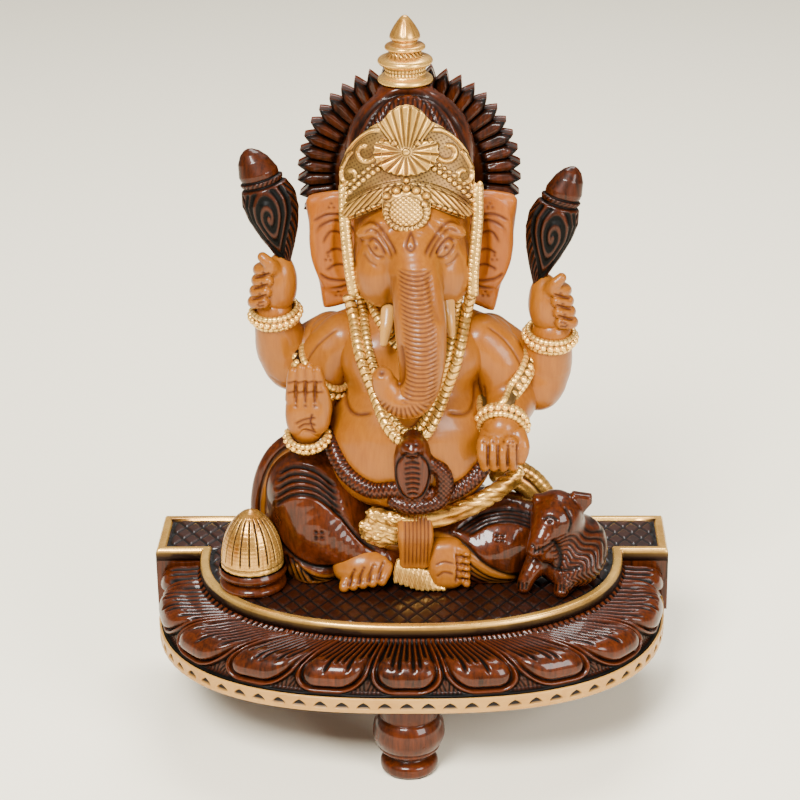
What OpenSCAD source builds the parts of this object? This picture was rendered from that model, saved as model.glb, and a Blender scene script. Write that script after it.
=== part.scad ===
// Carved and lacquered wooden Ganesha idol on a three-footed lotus plinth.
// Millimetres. +Z is up, the figure faces -Y, and X runs to the viewer's right.
// The origin is the middle of the plinth's box, on the surface that the feet stand on.
// Right and left in a node's name are the figure's own, so its right side is at -X.

/* [Plinth] */
// Width across the two rear corners of the plinth
plinth_w = 167; // [160:1:180]
// Depth of the plinth from the rim's front to its back edge
plinth_d = 94; // [90:1:100]
// Height of the feet, from the table to the underside of the plinth
foot_h = 29; // [26:1:34]
// Height of the plinth, from its underside to the deck
plinth_h = 21; // [20:1:24]
// Height of the notched band round the bottom edge
rim_h = 5; // [4:0.5:6]
// Thickness of the notched band
rim_t = 3; // [2:0.5:4]
// Height of the gold moulding round the deck
trim_h = 4; // [3:0.5:5]
// Width of the gold moulding seen from above
trim_w = 3.2; // [2.5:0.1:4]
// How far the gold moulding stands above the deck
trim_lip = 0.6; // [0.4:0.1:1]
// Thickness of the hatched deck panel
panel_t = 1.4; // [1:0.1:2]
// Spacing of the lotus petals along the rim
petal_pitch = 25; // [22:0.5:28]
// Largest radius of a foot
foot_r = 11.2; // [10:0.1:12]

/* [Fixings] */
// Radius of the dowels that hold the feet
foot_dowel_r = 3; // [2.5:0.1:3.5]
// Radius of the dowels that hold the halo and the finial
small_dowel_r = 1.5; // [1.2:0.1:1.8]
// Radius of the screws that hold the figure to the plinth
screw_r = 2; // [1.8:0.1:2.2]

/* [Figure] */
// Radius of the halo to the tips of its rays
halo_r = 34.9; // [32:0.1:36]
// Number of rays round the halo
ray_count = 45; // [40:1:50]
// Thickness of the halo
halo_t = 4; // [3:0.5:5]
// Largest radius of the turned finial
finial_r = 8.4; // [7.5:0.1:9]
// Height of the turned finial
finial_h = 20.6; // [19:0.1:22]
// Radius of the sweet's dome
dome_r = 10; // [9:0.1:10.5]
// Height of the sweet's dome above its bowl
dome_h = 19; // [17:0.5:20]
// Width across the mouse's ears
mouse_ear_span = 16; // [14:0.5:18]

/* [Hidden] */

lacquered_dark = "#4a2413";
light_wood = "#d08a4a";
ear_wood = "#d97f3c";
gold = "#c9a566";
pale_gold = "#dcc48e";
ivory = "#e6c79a";
steel = "#9a9a9a";

deck_z = foot_h + plinth_h;
rim_top = foot_h + rim_h;
trim_bottom = deck_z + trim_lip - trim_h;
panel_bottom = deck_z - panel_t;
back_y = plinth_d / 2;
// The front of the plinth is a half superellipse that meets the rear block at block_y.
rear_block_d = 26.3;
block_y = back_y - rear_block_d;
// How far the petals run outwards, at the sides and at the front.
petal_run_side = 13.5;
petal_run_front = 15.3;
rim_overhang = 1.5;
rim_a = plinth_w / 2 - rim_overhang;
rim_b = plinth_d - rear_block_d;
rim_power = 2.6;
deck_a = rim_a - petal_run_side;
deck_b = rim_b - petal_run_front;
deck_power = 2.3;
outline_steps = 48;

front_foot_at = [0, -30];
rear_foot_at = [60, 34];
screw_at = [15, 24];
dowel_bottom = 16;
dowel_depth = 11;
dowel_gap = 0.05;
screw_sink = 4;
screw_sink_r = 4.2;
overcut = 1;
snake_r = 2.6;
hole_fn = 48;
limb_fn = 10;
body_fn = 16;

// Point at angle t on a half superellipse: 0 is its right end and 180 its left end.
function half_point(t, a, b, power) = [
    a * sign(cos(t)) * pow(abs(cos(t)), 2 / power),
    block_y - b * pow(abs(sin(t)), 2 / power)
];

function half_outline(a, b, power) = [
    for (i = [0 : outline_steps]) half_point(180 * i / outline_steps, a, b, power)
];

// Corners of the rear block from the left notch round to the right one, drawn in by inset.
function block_corners(inset) = [
    [-plinth_w / 2 + inset, block_y + inset],
    [-plinth_w / 2 + inset, back_y - inset],
    [plinth_w / 2 - inset, back_y - inset],
    [plinth_w / 2 - inset, block_y + inset]
];

// The notch between the front and the rear block is a corner of its own once the outline is drawn in.
function notch_corner(side, inset) = inset > 0 ? [[side * (deck_a - inset), block_y + inset]] : [];

// Flat outline of the deck, with the rear corner blocks, drawn in by inset on every side.
module deck_outline(inset) {
    polygon(concat(
        half_outline(deck_a - inset, deck_b - inset, deck_power),
        notch_corner(-1, inset), block_corners(inset), notch_corner(1, inset)
    ));
}

module rim_outline(inset) {
    polygon(half_outline(rim_a - inset, rim_b - inset, rim_power));
}

module rear_block_outline() {
    translate([-plinth_w / 2, block_y]) square([plinth_w, back_y - block_y]);
}

// Arc length along the rim, as pairs of length and angle, for spacing the petals.
rim_points = half_outline(rim_a, rim_b, rim_power);
rim_lengths = [
    for (i = 0, s = 0; i <= outline_steps;
         s = s + (i < outline_steps ? norm(rim_points[i + 1] - rim_points[i]) : 0), i = i + 1)
        [s, 180 * i / outline_steps]
];
rim_half_length = rim_lengths[outline_steps][0] / 2;
function rim_angle(s) = lookup(rim_half_length + s, rim_lengths);

module foot_places() {
    translate(front_foot_at) children();
    for (side = [-1, 1]) translate([side * rear_foot_at.x, rear_foot_at.y]) children();
}

module screw_places() {
    for (side = [-1, 1]) translate([side * screw_at.x, screw_at.y]) children();
}

module on_deck() {
    translate([0, 0, deck_z]) children();
}

// ---- Plinth ----

module plinth_core() {
    color(lacquered_dark) difference() {
        union() {
            translate([0, 0, foot_h]) linear_extrude(rim_h) {
                rim_outline(rim_t);
                rear_block_outline();
            }
            translate([0, 0, rim_top]) linear_extrude(trim_bottom - rim_top) {
                deck_outline(trim_w);
                rear_block_outline();
            }
            translate([0, 0, trim_bottom]) linear_extrude(panel_bottom - trim_bottom)
                deck_outline(trim_w);
        }
        translate([0, 0, foot_h - overcut]) {
            foot_places()
                cylinder(r = foot_dowel_r + dowel_gap, h = dowel_depth + 2 * overcut, $fn = hole_fn);
            screw_places() cylinder(r = screw_r + dowel_gap, h = plinth_h + 2 * overcut, $fn = hole_fn);
            screw_places() cylinder(r = screw_sink_r, h = screw_sink, $fn = hole_fn);
        }
    }
}

// One petal: it springs from under the gold moulding and swells to a round tip above the rim.
module petal(s) {
    lean = 0.22 * s;
    half_tip = 6.5;
    tip_inset = 4.5;
    tip_r = 4;
    tip_z = rim_top + tip_r + 0.2;
    root = half_point(rim_angle(s - lean), deck_a - 1, deck_b - 1, deck_power);
    tip_right = half_point(rim_angle(s - half_tip), rim_a - tip_inset, rim_b - tip_inset, rim_power);
    tip_left = half_point(rim_angle(s + half_tip), rim_a - tip_inset, rim_b - tip_inset, rim_power);
    hull() {
        translate([root.x, root.y, trim_bottom - 3.4]) sphere(r = 3, $fn = 6);
        translate([tip_right.x, tip_right.y, tip_z]) sphere(r = tip_r, $fn = 8);
        translate([tip_left.x, tip_left.y, tip_z]) sphere(r = tip_r, $fn = 8);
    }
}

module lotus_petal_ring() {
    slice = 0.4;
    block_gap = 0.05;
    petals_each_side = floor(rim_half_length / petal_pitch - 0.3);
    color(lacquered_dark) difference() {
        union() {
            hull() {
                translate([0, 0, rim_top]) linear_extrude(slice) rim_outline(1.2);
                translate([0, 0, rim_top + 5]) linear_extrude(slice) rim_outline(5.5);
                translate([0, 0, trim_bottom - slice]) linear_extrude(slice)
                    polygon(half_outline(deck_a, deck_b, deck_power));
            }
            for (i = [-petals_each_side : petals_each_side]) petal(i * petal_pitch);
        }
        translate([0, 0, rim_top - 1]) linear_extrude(plinth_h) deck_outline(trim_w);
        translate([-plinth_w, block_y - block_gap, 0]) cube([2 * plinth_w, plinth_d, 2 * deck_z]);
    }
}

module rim_band() {
    color(pale_gold) translate([0, 0, foot_h]) linear_extrude(rim_h) difference() {
        rim_outline(0);
        rim_outline(rim_t);
        translate([-plinth_w, block_y - 0.01]) square([2 * plinth_w, plinth_d]);
    }
}

module deck_trim() {
    color(gold) translate([0, 0, trim_bottom]) linear_extrude(trim_h) difference() {
        deck_outline(0);
        deck_outline(trim_w);
    }
}

module deck_panel() {
    color(lacquered_dark) difference() {
        translate([0, 0, panel_bottom]) linear_extrude(panel_t) deck_outline(trim_w);
        screw_places() cylinder(r = screw_r + dowel_gap, h = 2 * deck_z, $fn = hole_fn);
    }
}

// A turned foot: a flat bun below a waist, a large bulb with one bead line, and a short neck.
module turned_foot() {
    bulb_z = 14;
    bulb_h = 7.4;
    color(lacquered_dark) rotate_extrude($fn = 64) difference() {
        union() {
            square([8.2, 1]);
            translate([6.4, 2.6]) circle(r = 2.5, $fn = 40);
            square([6.6, foot_h]);
            translate([0, 7.6]) square([8.6, 1]);
            translate([foot_r - bulb_h, bulb_z]) circle(r = bulb_h, $fn = 64);
            translate([0, bulb_z - bulb_h]) square([foot_r - bulb_h, 2 * bulb_h]);
            translate([0, foot_h - 5]) square([9.2, 5]);
        }
        translate([foot_r - 1.4, 8.4]) circle(r = 0.8, $fn = 24);
        translate([-1, dowel_bottom - 0.5]) square([foot_dowel_r + dowel_gap + 1, foot_h]);
        translate([-20, -1]) square([20, foot_h + 2]);
        translate([-1, -5]) square([20, 5]);
    }
}

module front_foot() {
    translate(front_foot_at) turned_foot();
}

module rear_foot_right() {
    translate([-rear_foot_at.x, rear_foot_at.y]) turned_foot();
}

module rear_foot_left() {
    translate(rear_foot_at) turned_foot();
}

module foot_dowels() {
    dowel_h = foot_h + dowel_depth - dowel_bottom;
    color(light_wood) foot_places()
        translate([0, 0, dowel_bottom]) cylinder(r = foot_dowel_r, h = dowel_h, $fn = hole_fn);
}

module figure_screws() {
    head_z = foot_h + 0.6;
    head_h = 2.4;
    shank_h = 32;
    seam = 0.1;
    color(steel) screw_places() {
        translate([0, 0, head_z]) cylinder(r1 = 4, r2 = screw_r, h = head_h, $fn = hole_fn);
        translate([0, 0, head_z + head_h - seam]) cylinder(r = screw_r, h = shank_h, $fn = hole_fn);
        translate([0, 0, head_z + head_h + shank_h - 2 * seam])
            cylinder(r1 = screw_r, r2 = 0.4, h = 4, $fn = hole_fn);
    }
}

// ---- Building blocks of the carved figure, in a frame that starts at the deck ----

// A rounded mass with its own radius along each axis.
module mass(centre, radii, turn = [0, 0, 0], fn = body_fn) {
    translate(centre) rotate(turn) hull() scale(radii) sphere(r = 1, $fn = fn);
}

// A tapered limb between two balls.
module limb(a, ra, b, rb, fn = limb_fn) {
    hull() {
        translate(a) sphere(r = ra, $fn = fn);
        translate(b) sphere(r = rb, $fn = fn);
    }
}

// A run of limbs through the points, with one radius for each point.
module run_of_limbs(points, radii, fn = limb_fn) {
    for (i = [0 : len(points) - 2]) limb(points[i], radii[i], points[i + 1], radii[i + 1], fn);
}

belly_at = [0.8, 11.5, 47.5];
belly_r = [27, 21.5, 22];
paunch_at = [0.8, 6, 38.4];
paunch_r = [24.6, 15, 15.6];
chest_at = [0.8, 16, 72];
chest_r = [22, 15, 18];

// Front of a rounded mass at x and z, or its middle where the point is off its side.
function front_of(x, z, centre, radii) = centre.y
    - radii.y * sqrt(max(0, 1 - pow((x - centre.x) / radii.x, 2) - pow((z - centre.z) / radii.z, 2)));

// Point on the front of the chest and belly.
function on_body(x, z, lift) = [
    x,
    min(
        front_of(x, z, belly_at, belly_r),
        front_of(x, z, paunch_at, paunch_r),
        front_of(x, z, chest_at, chest_r)
    ) - lift,
    z
];

// Below the deck nothing of the figure remains.
module under_deck() {
    translate([0, 0, -50]) cube([300, 300, 100], center = true);
}

// ---- Lower body ----

module seat_mass() {
    mass([0.5, 21, 10], [31, 16, 20]);
    mass([-15, 14, 12], [16, 15, 17]);
    mass([16, 14, 11], [16, 15, 15]);
}

module torso_mass() {
    mass(belly_at, belly_r, fn = 22);
    mass(paunch_at, paunch_r);
    mass(chest_at, chest_r);
    hull() {
        translate([0.8, 18, 62]) scale([20, 14, 14]) sphere(r = 1, $fn = 16);
        translate([0.8, 18, 84]) scale([12, 10, 8]) sphere(r = 1, $fn = 16);
    }
    limb([-10, 17, 77], 9, [-23, 17, 75], 8.6);
    limb([11, 17, 76], 9, [24.5, 17, 74], 9);
}

module seat_block() {
    color(lacquered_dark) render() difference() {
        union() {
            seat_mass();
            limb([-24, 24, 6], 7, [24, 24, 6], 7);
        }
        torso_mass();
        under_deck();
        translate([0, 0, -deck_z]) figure_screws();
    }
}

module right_leg_mass() {
    run_of_limbs([[-14, 13, 19], [-25, 10, 26], [-32.5, 9, 31]], [14, 14, 13]);
    run_of_limbs([[-33, 7, 27], [-28, 3, 20], [-18, 1.5, 13], [-8, 1, 9]], [12.5, 11, 8.5, 7]);
    limb([-33, 5, 14], 8, [-31, 3, 4], 8);
    limb([-38, 9, 20], 7, [-37, 8, 4], 6);
}

module right_leg() {
    color(lacquered_dark) render() difference() {
        right_leg_mass();
        seat_mass();
        torso_mass();
        under_deck();
    }
}

module left_leg_mass() {
    run_of_limbs([[14, 13, 16], [26, 11, 15], [35, 9, 13.5]], [13, 12, 10.5]);
    run_of_limbs([[36, 8, 12], [26, 3, 10], [14, 2, 8]], [9.5, 9, 7.5]);
    limb([30, 1, 5], 6, [20, 0, 4], 5.5);
}

module left_leg() {
    color(lacquered_dark) render() difference() {
        left_leg_mass();
        seat_mass();
        torso_mass();
        mouse_mass();
        under_deck();
    }
}

module right_foot_mass() {
    limb([-18.5, -2.4, 6], 5, [-10.5, -2.4, 6.6], 4.8);
    toe_pitch = 2.9;
    for (i = [0 : 4]) {
        knuckle = [-19 + toe_pitch * i, -5.4, 4.4 + 0.3 * i];
        toe_tip = [-20.6 + toe_pitch * i, -7.8, 2.4 + 0.5 * i];
        limb(knuckle, 2.6, toe_tip, 1.9, 6);
    }
}

module right_bare_foot() {
    color(light_wood) render() difference() {
        union() {
            right_foot_mass();
            mass([-14.5, -3, 6.4], [9.2, 5.4, 5.4], fn = 14);
        }
        right_leg_mass();
        under_deck();
    }
}

module left_bare_foot() {
    color(light_wood) render() difference() {
        union() {
            limb([9, -3.4, 13], 3.4, [9.5, -4.8, 4], 3.2);
            limb([13, -3.4, 13.4], 3.4, [13.6, -5, 3.6], 3.2);
            limb([9, -3.4, 12], 3.4, [14, -3.4, 12], 3.4);
            for (i = [0 : 4]) limb([14, -4.4, 3.4 + 2.6 * i], 1.6, [17, -5.8, 3 + 2.6 * i], 1.5, 6);
        }
        left_leg_mass();
        under_deck();
    }
}

// A stiff cloth edge that stands up in an arc behind a knee.
module cloth_arc(centre, rise, spread, from, to, y) {
    steps = 8;
    angles = [for (i = [0 : steps]) from + (to - from) * i / steps];
    points = [for (a = angles) [centre.x + spread * cos(a), y, centre.y + rise * sin(a)]];
    run_of_limbs(points, [for (a = angles) 2.6], 8);
}

module right_cloth_flap() {
    color(lacquered_dark) render() difference() {
        cloth_arc([-34, 20], 25, 14.5, 100, 205, 11);
        right_leg_mass();
        seat_mass();
        under_deck();
    }
}

module left_cloth_flap() {
    color(gold) render() difference() {
        cloth_arc([24, 17], 17, 20, 75, -15, 15);
        left_leg_mass();
        seat_mass();
        torso_mass();
        under_deck();
    }
}

// Gold cloth that lies in the lap under the belly: crumpled by the right shin, a roll to the left.
module waist_band() {
    steps = 10;
    xs = [for (i = [0 : steps]) -12 + 44 * i / steps];
    points = [for (x = xs) [x, -6.4 + 0.0105 * x * x, 25 + 0.0085 * x * x]];
    color(gold) render() difference() {
        union() {
            run_of_limbs(points, [for (x = xs) 2.3], 8);
            mass([-8.6, -3.6, 20.4], [6.6, 4, 5.6], fn = 12);
        }
        torso_mass();
        seat_mass();
        right_leg_mass();
        left_leg_mass();
    }
}

module front_sash() {
    color(light_wood) render() difference() {
        union() {
            for (i = [-1 : 1]) {
                run_of_limbs([[3.2 * i, -7.4, 25], [0.4 + 3.2 * i, -7.8, 19], [0.2 + 2.6 * i, -6.8, 12.5]],
                    [2, 2.1, 1.9], 6);
            }
        }
        torso_mass();
        waist_band();
        seat_mass();
        right_leg_mass();
        left_leg_mass();
    }
}

module sash_tassels() {
    color(gold) render() difference() {
        for (i = [0 : 4]) {
            drop = 9 - 1.2 * i;
            limb([-3 + 1.8 * i, -6.2, drop + 1.5], 1.6, [-3.8 + 3 * i, -7.2, max(1.7, drop - 5)], 1.7, 6);
        }
        right_leg_mass();
        left_leg_mass();
        left_bare_foot();
        right_bare_foot();
        front_sash();
    }
}

// ---- Torso and its ornaments ----

module torso() {
    color(light_wood) render() difference() {
        union() {
            torso_mass();
            for (side = [-1, 1]) limb([side * 9, 6, 78], 7, [side * 17, 9, 74], 6);
        }
        head_mass();
        translate([0, 0, -deck_z]) figure_screws();
        halo_dowel_shapes();
    }
}

// The snake is drawn as x and z on the front of the body, from one hip to the other.
module belt_run(lift, r) {
    drape = [
        [-25, 50], [-21.6, 43.4], [-17.5, 38.8], [-10.5, 35.8], [-4, 37], [3, 36],
        [12, 34.2], [19, 37.2], [24, 42]
    ];
    points = [for (p = drape) on_body(p[0], p[1], lift)];
    run_of_limbs(points, [for (p = drape) r], 10);
}

module snake_belt() {
    color(lacquered_dark) render() difference() {
        belt_run(0.6, snake_r);
        torso_mass();
    }
}

module cobra_mass() {
    mass([1.8, -11.8, 43.4], [5.4, 2.6, 10.6], fn = 14);
    mass([1.7, -13.4, 52.4], [3.4, 3.2, 3], fn = 10);
    run_of_limbs([[8.5, -9.2, 33], [11, -8.7, 39], [8, -9.2, 45]], [2.8, 2.8, 2.4], 8);
    run_of_limbs([[-4, -11, 32.6], [2, -11.6, 31.6], [9, -10.6, 33]], [2.6, 2.8, 2.6], 8);
}

module cobra_hood() {
    color(lacquered_dark) render() difference() {
        cobra_mass();
        torso_mass();
        snake_belt();
        // Clears the wedge between the snake and the belly.
        belt_run(-1, snake_r + 0.4);
    }
}

// A rope of beads that hangs in a V on the chest, from one side of the neck to the other.
module chest_rope(half_w, top, drop, middle, r, sections, lift) {
    ts = [for (i = [0 : sections]) -1 + 2 * i / sections];
    points = [for (t = ts) on_body(middle + half_w * t, top - drop * (1 - pow(abs(t), 1.35)), lift)];
    run_of_limbs(points, [for (t = ts) r], 8);
}

module necklace_garland() {
    color(pale_gold) render() difference() {
        chest_rope(18.6, 90, 36, 0.6, 2.5, 14, 0.2);
        torso_mass();
        head_mass();
        trunk_mass();
    }
}

module necklace_choker() {
    color(gold) render() difference() {
        chest_rope(13, 89, 12.5, 0.8, 1.8, 10, 0.3);
        torso_mass();
        head_mass();
        trunk_mass();
        necklace_garland();
    }
}

// ---- Arms ----

module front_right_arm_mass() {
    run_of_limbs([[-20, 14, 77], [-25.5, 13, 71], [-30, 11, 57]], [8.2, 8.2, 7.4]);
    run_of_limbs([[-30, 11, 56], [-31, 1, 52.5]], [7.2, 5.4]);
}

module front_right_arm() {
    color(light_wood) render() difference() {
        front_right_arm_mass();
        torso_mass();
        front_right_palm_mass();
        right_leg_mass();
    }
}

// The open palm faces forward with its fingers up.
module front_right_palm_mass() {
    hull() {
        mass([-31, -1.2, 56], [5.8, 2.6, 4], fn = 12);
        mass([-30.9, -1.6, 64], [6.4, 2.4, 4], fn = 12);
    }
    for (i = [0 : 3]) {
        fingertip = [-34.6 + 2.5 * i, -2.4, 74.5 - 0.8 * abs(i - 1.5)];
        limb([-35.4 + 3 * i, -1.6, 65.5], 1.7, fingertip, 1.4, 6);
    }
    limb([-26, -1.2, 58], 2, [-25.4, -2, 66], 1.6, 8);
}

module front_right_palm() {
    color(light_wood) render() difference() {
        front_right_palm_mass();
        right_leg_mass();
    }
}

module front_left_arm_mass() {
    run_of_limbs([[22, 15, 76], [28, 14, 70], [32, 12.5, 58]], [8.6, 8.6, 7.6]);
    run_of_limbs([[32, 12.5, 58], [30, 3, 56], [28.8, -2, 53]], [7.6, 6.8, 6]);
}

module front_left_arm() {
    color(light_wood) render() difference() {
        front_left_arm_mass();
        torso_mass();
        front_left_hand_mass();
    }
}

// The lowered hand curls its fingers over a small round sweet.
module front_left_hand_mass() {
    mass([28.4, -5, 47.5], [7, 4.6, 5.2], fn = 14);
    for (i = [0 : 3]) limb([23.2 + 3 * i, -8.2, 49.5], 1.7, [23.6 + 3 * i, -8, 43.2], 1.6, 6);
    limb([34, -6, 52], 2, [35, -7, 46], 1.7, 6);
    mass([31.5, -8, 50.5], [2.6, 2.6, 2.6], fn = 10);
}

module front_left_hand() {
    color(light_wood) render() difference() {
        front_left_hand_mass();
        torso_mass();
        left_leg_mass();
    }
}

module rear_right_arm_mass() {
    run_of_limbs([[-25, 21, 74], [-30, 20, 71], [-35, 19, 69]], [8, 8.8, 9.3]);
}

module rear_right_arm() {
    color(light_wood) render() difference() {
        rear_right_arm_mass();
        torso_mass();
        front_right_arm_mass();
    }
}

module raised_fist(centre, side) {
    mass(centre, [6.2, 6.4, 8], fn = 12);
    finger_r = 1.8;
    finger_pitch = 2.9;
    for (i = [0 : 3]) {
        knuckle = centre + [side * 6.4, -1.6, 5.2 - finger_pitch * i];
        fingertip = centre + [side * 3, -5.4, 4.6 - finger_pitch * i];
        limb(fingertip, finger_r, knuckle, finger_r, 6);
    }
    limb(centre + [-side * 2.6, -4.8, 3], 2, centre + [side * 1, -6, 6.6], 1.8, 6);
}

module rear_right_fist_mass() {
    run_of_limbs([[-35, 19, 70], [-38.5, 17.5, 77], [-41.3, 15, 86]], [9.3, 8.2, 6.2]);
    raised_fist([-41, 14, 96.5], -1);
}

module rear_right_fist() {
    color(light_wood) render() difference() {
        rear_right_fist_mass();
        rear_right_arm_mass();
        right_conch();
        torso_mass();
        front_right_arm_mass();
    }
}

module rear_left_arm_mass() {
    run_of_limbs([[25, 21, 73], [33, 20, 67], [39.5, 19, 61.5]], [8.4, 9, 9.5]);
}

module rear_left_arm() {
    color(light_wood) render() difference() {
        rear_left_arm_mass();
        torso_mass();
        front_left_arm_mass();
    }
}

module rear_left_fist_mass() {
    run_of_limbs([[39.5, 19, 62], [42.5, 17.5, 69], [44.5, 15, 78]], [9.5, 8.4, 6.6]);
    raised_fist([44.6, 14, 89], 1);
}

module rear_left_fist() {
    color(light_wood) render() difference() {
        rear_left_fist_mass();
        rear_left_arm_mass();
        left_conch();
        torso_mass();
        front_left_arm_mass();
    }
}

// A ring that faces along the line from a to b and is centred at a, flat inside and domed outside.
module limb_ring(a, b, inner_r, width, thick) {
    axis = b - a;
    translate(a) rotate([0, acos(axis.z / norm(axis)), atan2(axis.y, axis.x)])
        rotate_extrude($fn = 48) {
            translate([inner_r, -width / 2]) square([thick / 2, width]);
            translate([inner_r + thick / 2, 0]) domed_edge(thick / 2, width);
        }
}

module domed_edge(thick, width) {
    intersection() {
        translate([thick - width, 0]) circle(r = width, $fn = 48);
        translate([0, -width / 2]) square([thick, width]);
    }
}

module armlets() {
    color(pale_gold) {
        limb_ring([-27, 12.7, 67], [-30, 11, 57], 8.3, 4.2, 1.6);
        limb_ring([29.4, 13.6, 66], [32, 12.5, 58], 8.6, 4.2, 1.6);
    }
}

module bangles() {
    color(pale_gold) {
        limb_ring([-41, 15.2, 85], [-41.6, 14.8, 89], 6.4, 4, 1.4);
        limb_ring([44.3, 15.2, 77], [44.7, 14.8, 81], 6.8, 4, 1.4);
        limb_ring([-30.8, 3, 53.2], [-31, 1, 52.5], 5.9, 3, 1.2);
        limb_ring([29.5, 0.8, 54.7], [28.8, -2, 53], 6.6, 4.4, 1.6);
    }
}

// A bud-shaped conch: pointed cap, collar and a body that tapers to the hand.
module conch(tip, point, r) {
    axis = tip - point;
    length = norm(axis);
    profile = [
        [0, 0], [0.12, 0.02], [0.36, 0.12], [0.66, 0.26], [0.9, 0.4], [1, 0.5], [0.97, 0.6],
        [0.84, 0.68], [0.72, 0.705], [0.8, 0.72], [0.8, 0.745], [0.7, 0.76], [0.72, 0.8],
        [0.62, 0.87], [0.4, 0.95], [0.16, 0.99], [0, 1]
    ];
    color(lacquered_dark) translate(point) rotate([0, acos(axis.z / length), atan2(axis.y, axis.x)])
        rotate_extrude($fn = 48) polygon([for (p = profile) [r * p.x, length * p.y]]);
}

module right_conch() {
    conch([-47.5, 15, 138.5], [-36.4, 13.4, 100.8], 8.5);
}

module left_conch() {
    conch([51.1, 15, 132.4], [39.4, 13.4, 93.6], 7.8);
}

// ---- Head ----

module head_mass() {
    mass([1.8, 18, 114], [17.8, 17, 22], fn = 20);
    mass([-6.6, 9, 104.5], [9.6, 12, 10.8], fn = 16);
    mass([10.4, 9, 104.5], [9.6, 12, 10.8], fn = 16);
    mass([1.8, 8, 120], [13, 9, 12], fn = 16);
}

module head() {
    color(light_wood) render() difference() {
        union() {
            head_mass();
            mass([1.8, 16, 98], [14, 12, 9], fn = 16);
        }
        trunk_mass();
    }
}

module trunk_mass() {
    run_of_limbs([[2.6, -1.5, 111], [3.6, -7, 103], [4.6, -11.5, 93], [5, -14.5, 83], [4.4, -16, 74.5],
        [1.6, -16.6, 69.4], [-3, -16.6, 70], [-6, -16.4, 74.4]], [5.8, 6.8, 7.4, 7.2, 6.2, 5.4, 4.6, 3.8]);
}

module trunk() {
    color(light_wood) render() difference() {
        union() {
            trunk_mass();
            limb([-6, -16.4, 74.4], 3.8, [-6.6, -17, 77], 3.4);
        }
        torso_mass();
        necklace_choker();
    }
}

// An ear: a thin leaf that hangs from the temple, fuller at its top.
module ear_leaf(corners, thick) {
    hull() for (c = corners) translate([c.x, c.z, c.y]) sphere(r = thick / 2, $fn = 10);
}

module right_ear() {
    color(ear_wood) render() difference() {
        union() {
            ear_leaf([[-13, 120, 22], [-29.5, 119.6, 24], [-29, 107, 24], [-13, 104, 21]], 4.4);
            ear_leaf([[-13, 106, 21], [-29, 108, 24], [-26.6, 85.4, 23], [-14, 91, 20]], 4.4);
        }
        head_mass();
        torso_mass();
    }
}

module left_ear() {
    color(ear_wood) render() difference() {
        union() {
            ear_leaf([[16, 120, 22], [32.6, 120, 24], [32.8, 105, 24], [16, 104, 21]], 4.4);
            ear_leaf([[16, 106, 21], [32.8, 107, 24], [26.8, 83.8, 23], [17.6, 89, 20]], 4.4);
        }
        head_mass();
        torso_mass();
        rear_left_arm_mass();
    }
}

module tusk(root, tip) {
    axis = tip - root;
    translate(root) rotate([0, acos(axis.z / norm(axis)), atan2(axis.y, axis.x)]) {
        cylinder(r1 = 2.7, r2 = 2, h = norm(axis), $fn = 32);
        translate([0, 0, norm(axis)]) sphere(r = 2, $fn = 32);
    }
}

module tusks() {
    color(ivory) {
        tusk([-5.6, -3, 90.5], [-6.8, -5.6, 84.6]);
        tusk([12.6, -3, 93], [14, -5.6, 86]);
    }
}

// The crown plate is part of a leaning tube, cut to a pointed outline.
module crown_plate() {
    plate_t = 3;
    curve_r = 27;
    lean = 17;
    plate_half_w = 20.4;
    shoulder_z = 17;
    color(gold) translate([0.6, 3.6, 121]) rotate([-lean, 0, 0]) intersection() {
        translate([0, curve_r, -1]) difference() {
            cylinder(r = curve_r, h = 40, $fn = 96);
            translate([0, 0, -1]) cylinder(r = curve_r - plate_t, h = 42, $fn = 96);
        }
        rotate([90, 0, 0]) translate([0, 0, -14]) linear_extrude(20) difference() {
            polygon([[-18.6, 0], [18.6, 0], [plate_half_w, 8], [plate_half_w, shoulder_z], [15, 22.6],
                [6.4, 28], [3.2, 32], [0, 33.4], [-3.2, 32], [-6.4, 28], [-15, 22.6],
                [-plate_half_w, shoulder_z], [-plate_half_w, 8]]);
            translate([0, -22]) circle(r = 27, $fn = 96);
        }
    }
}

cap_top_at = [0, 29];
finial_base_z = 155;
finial_dowel_z = 147;
finial_dowel_h = 13.5;

module crown_cap() {
    color(lacquered_dark) render() difference() {
        union() {
            mass([1.2, 25, 134], [19.8, 14, 21], fn = 20);
            mass([1.2, 27, 124], [18.6, 14, 16]);
            mass([0, 28, 152], [8.4, 8.4, 4], fn = 16);
        }
        head_mass();
        hull() crown_plate();
        translate([cap_top_at.x, cap_top_at.y, finial_dowel_z - 1])
            cylinder(r = small_dowel_r + dowel_gap, h = 20, $fn = 16);
        translate([cap_top_at.x, cap_top_at.y, finial_base_z]) cylinder(r = 12, h = 10, $fn = 32);
        halo_back_space();
        halo_dowel_shapes();
    }
}

module bead_strands() {
    color(pale_gold) render() difference() {
        for (side = [-1, 1]) {
            run_of_limbs([
                [1.8 + side * 18.6, 13, 126], [1.8 + side * 18.4, 9, 114],
                [1.8 + side * 17, 5.4, 103], [1.8 + side * 15.4, 5, 97]
            ], [1.7, 1.7, 1.7, 1.5], 8);
        }
        head_mass();
        hull() crown_plate();
        right_ear();
        left_ear();
    }
}

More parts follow.
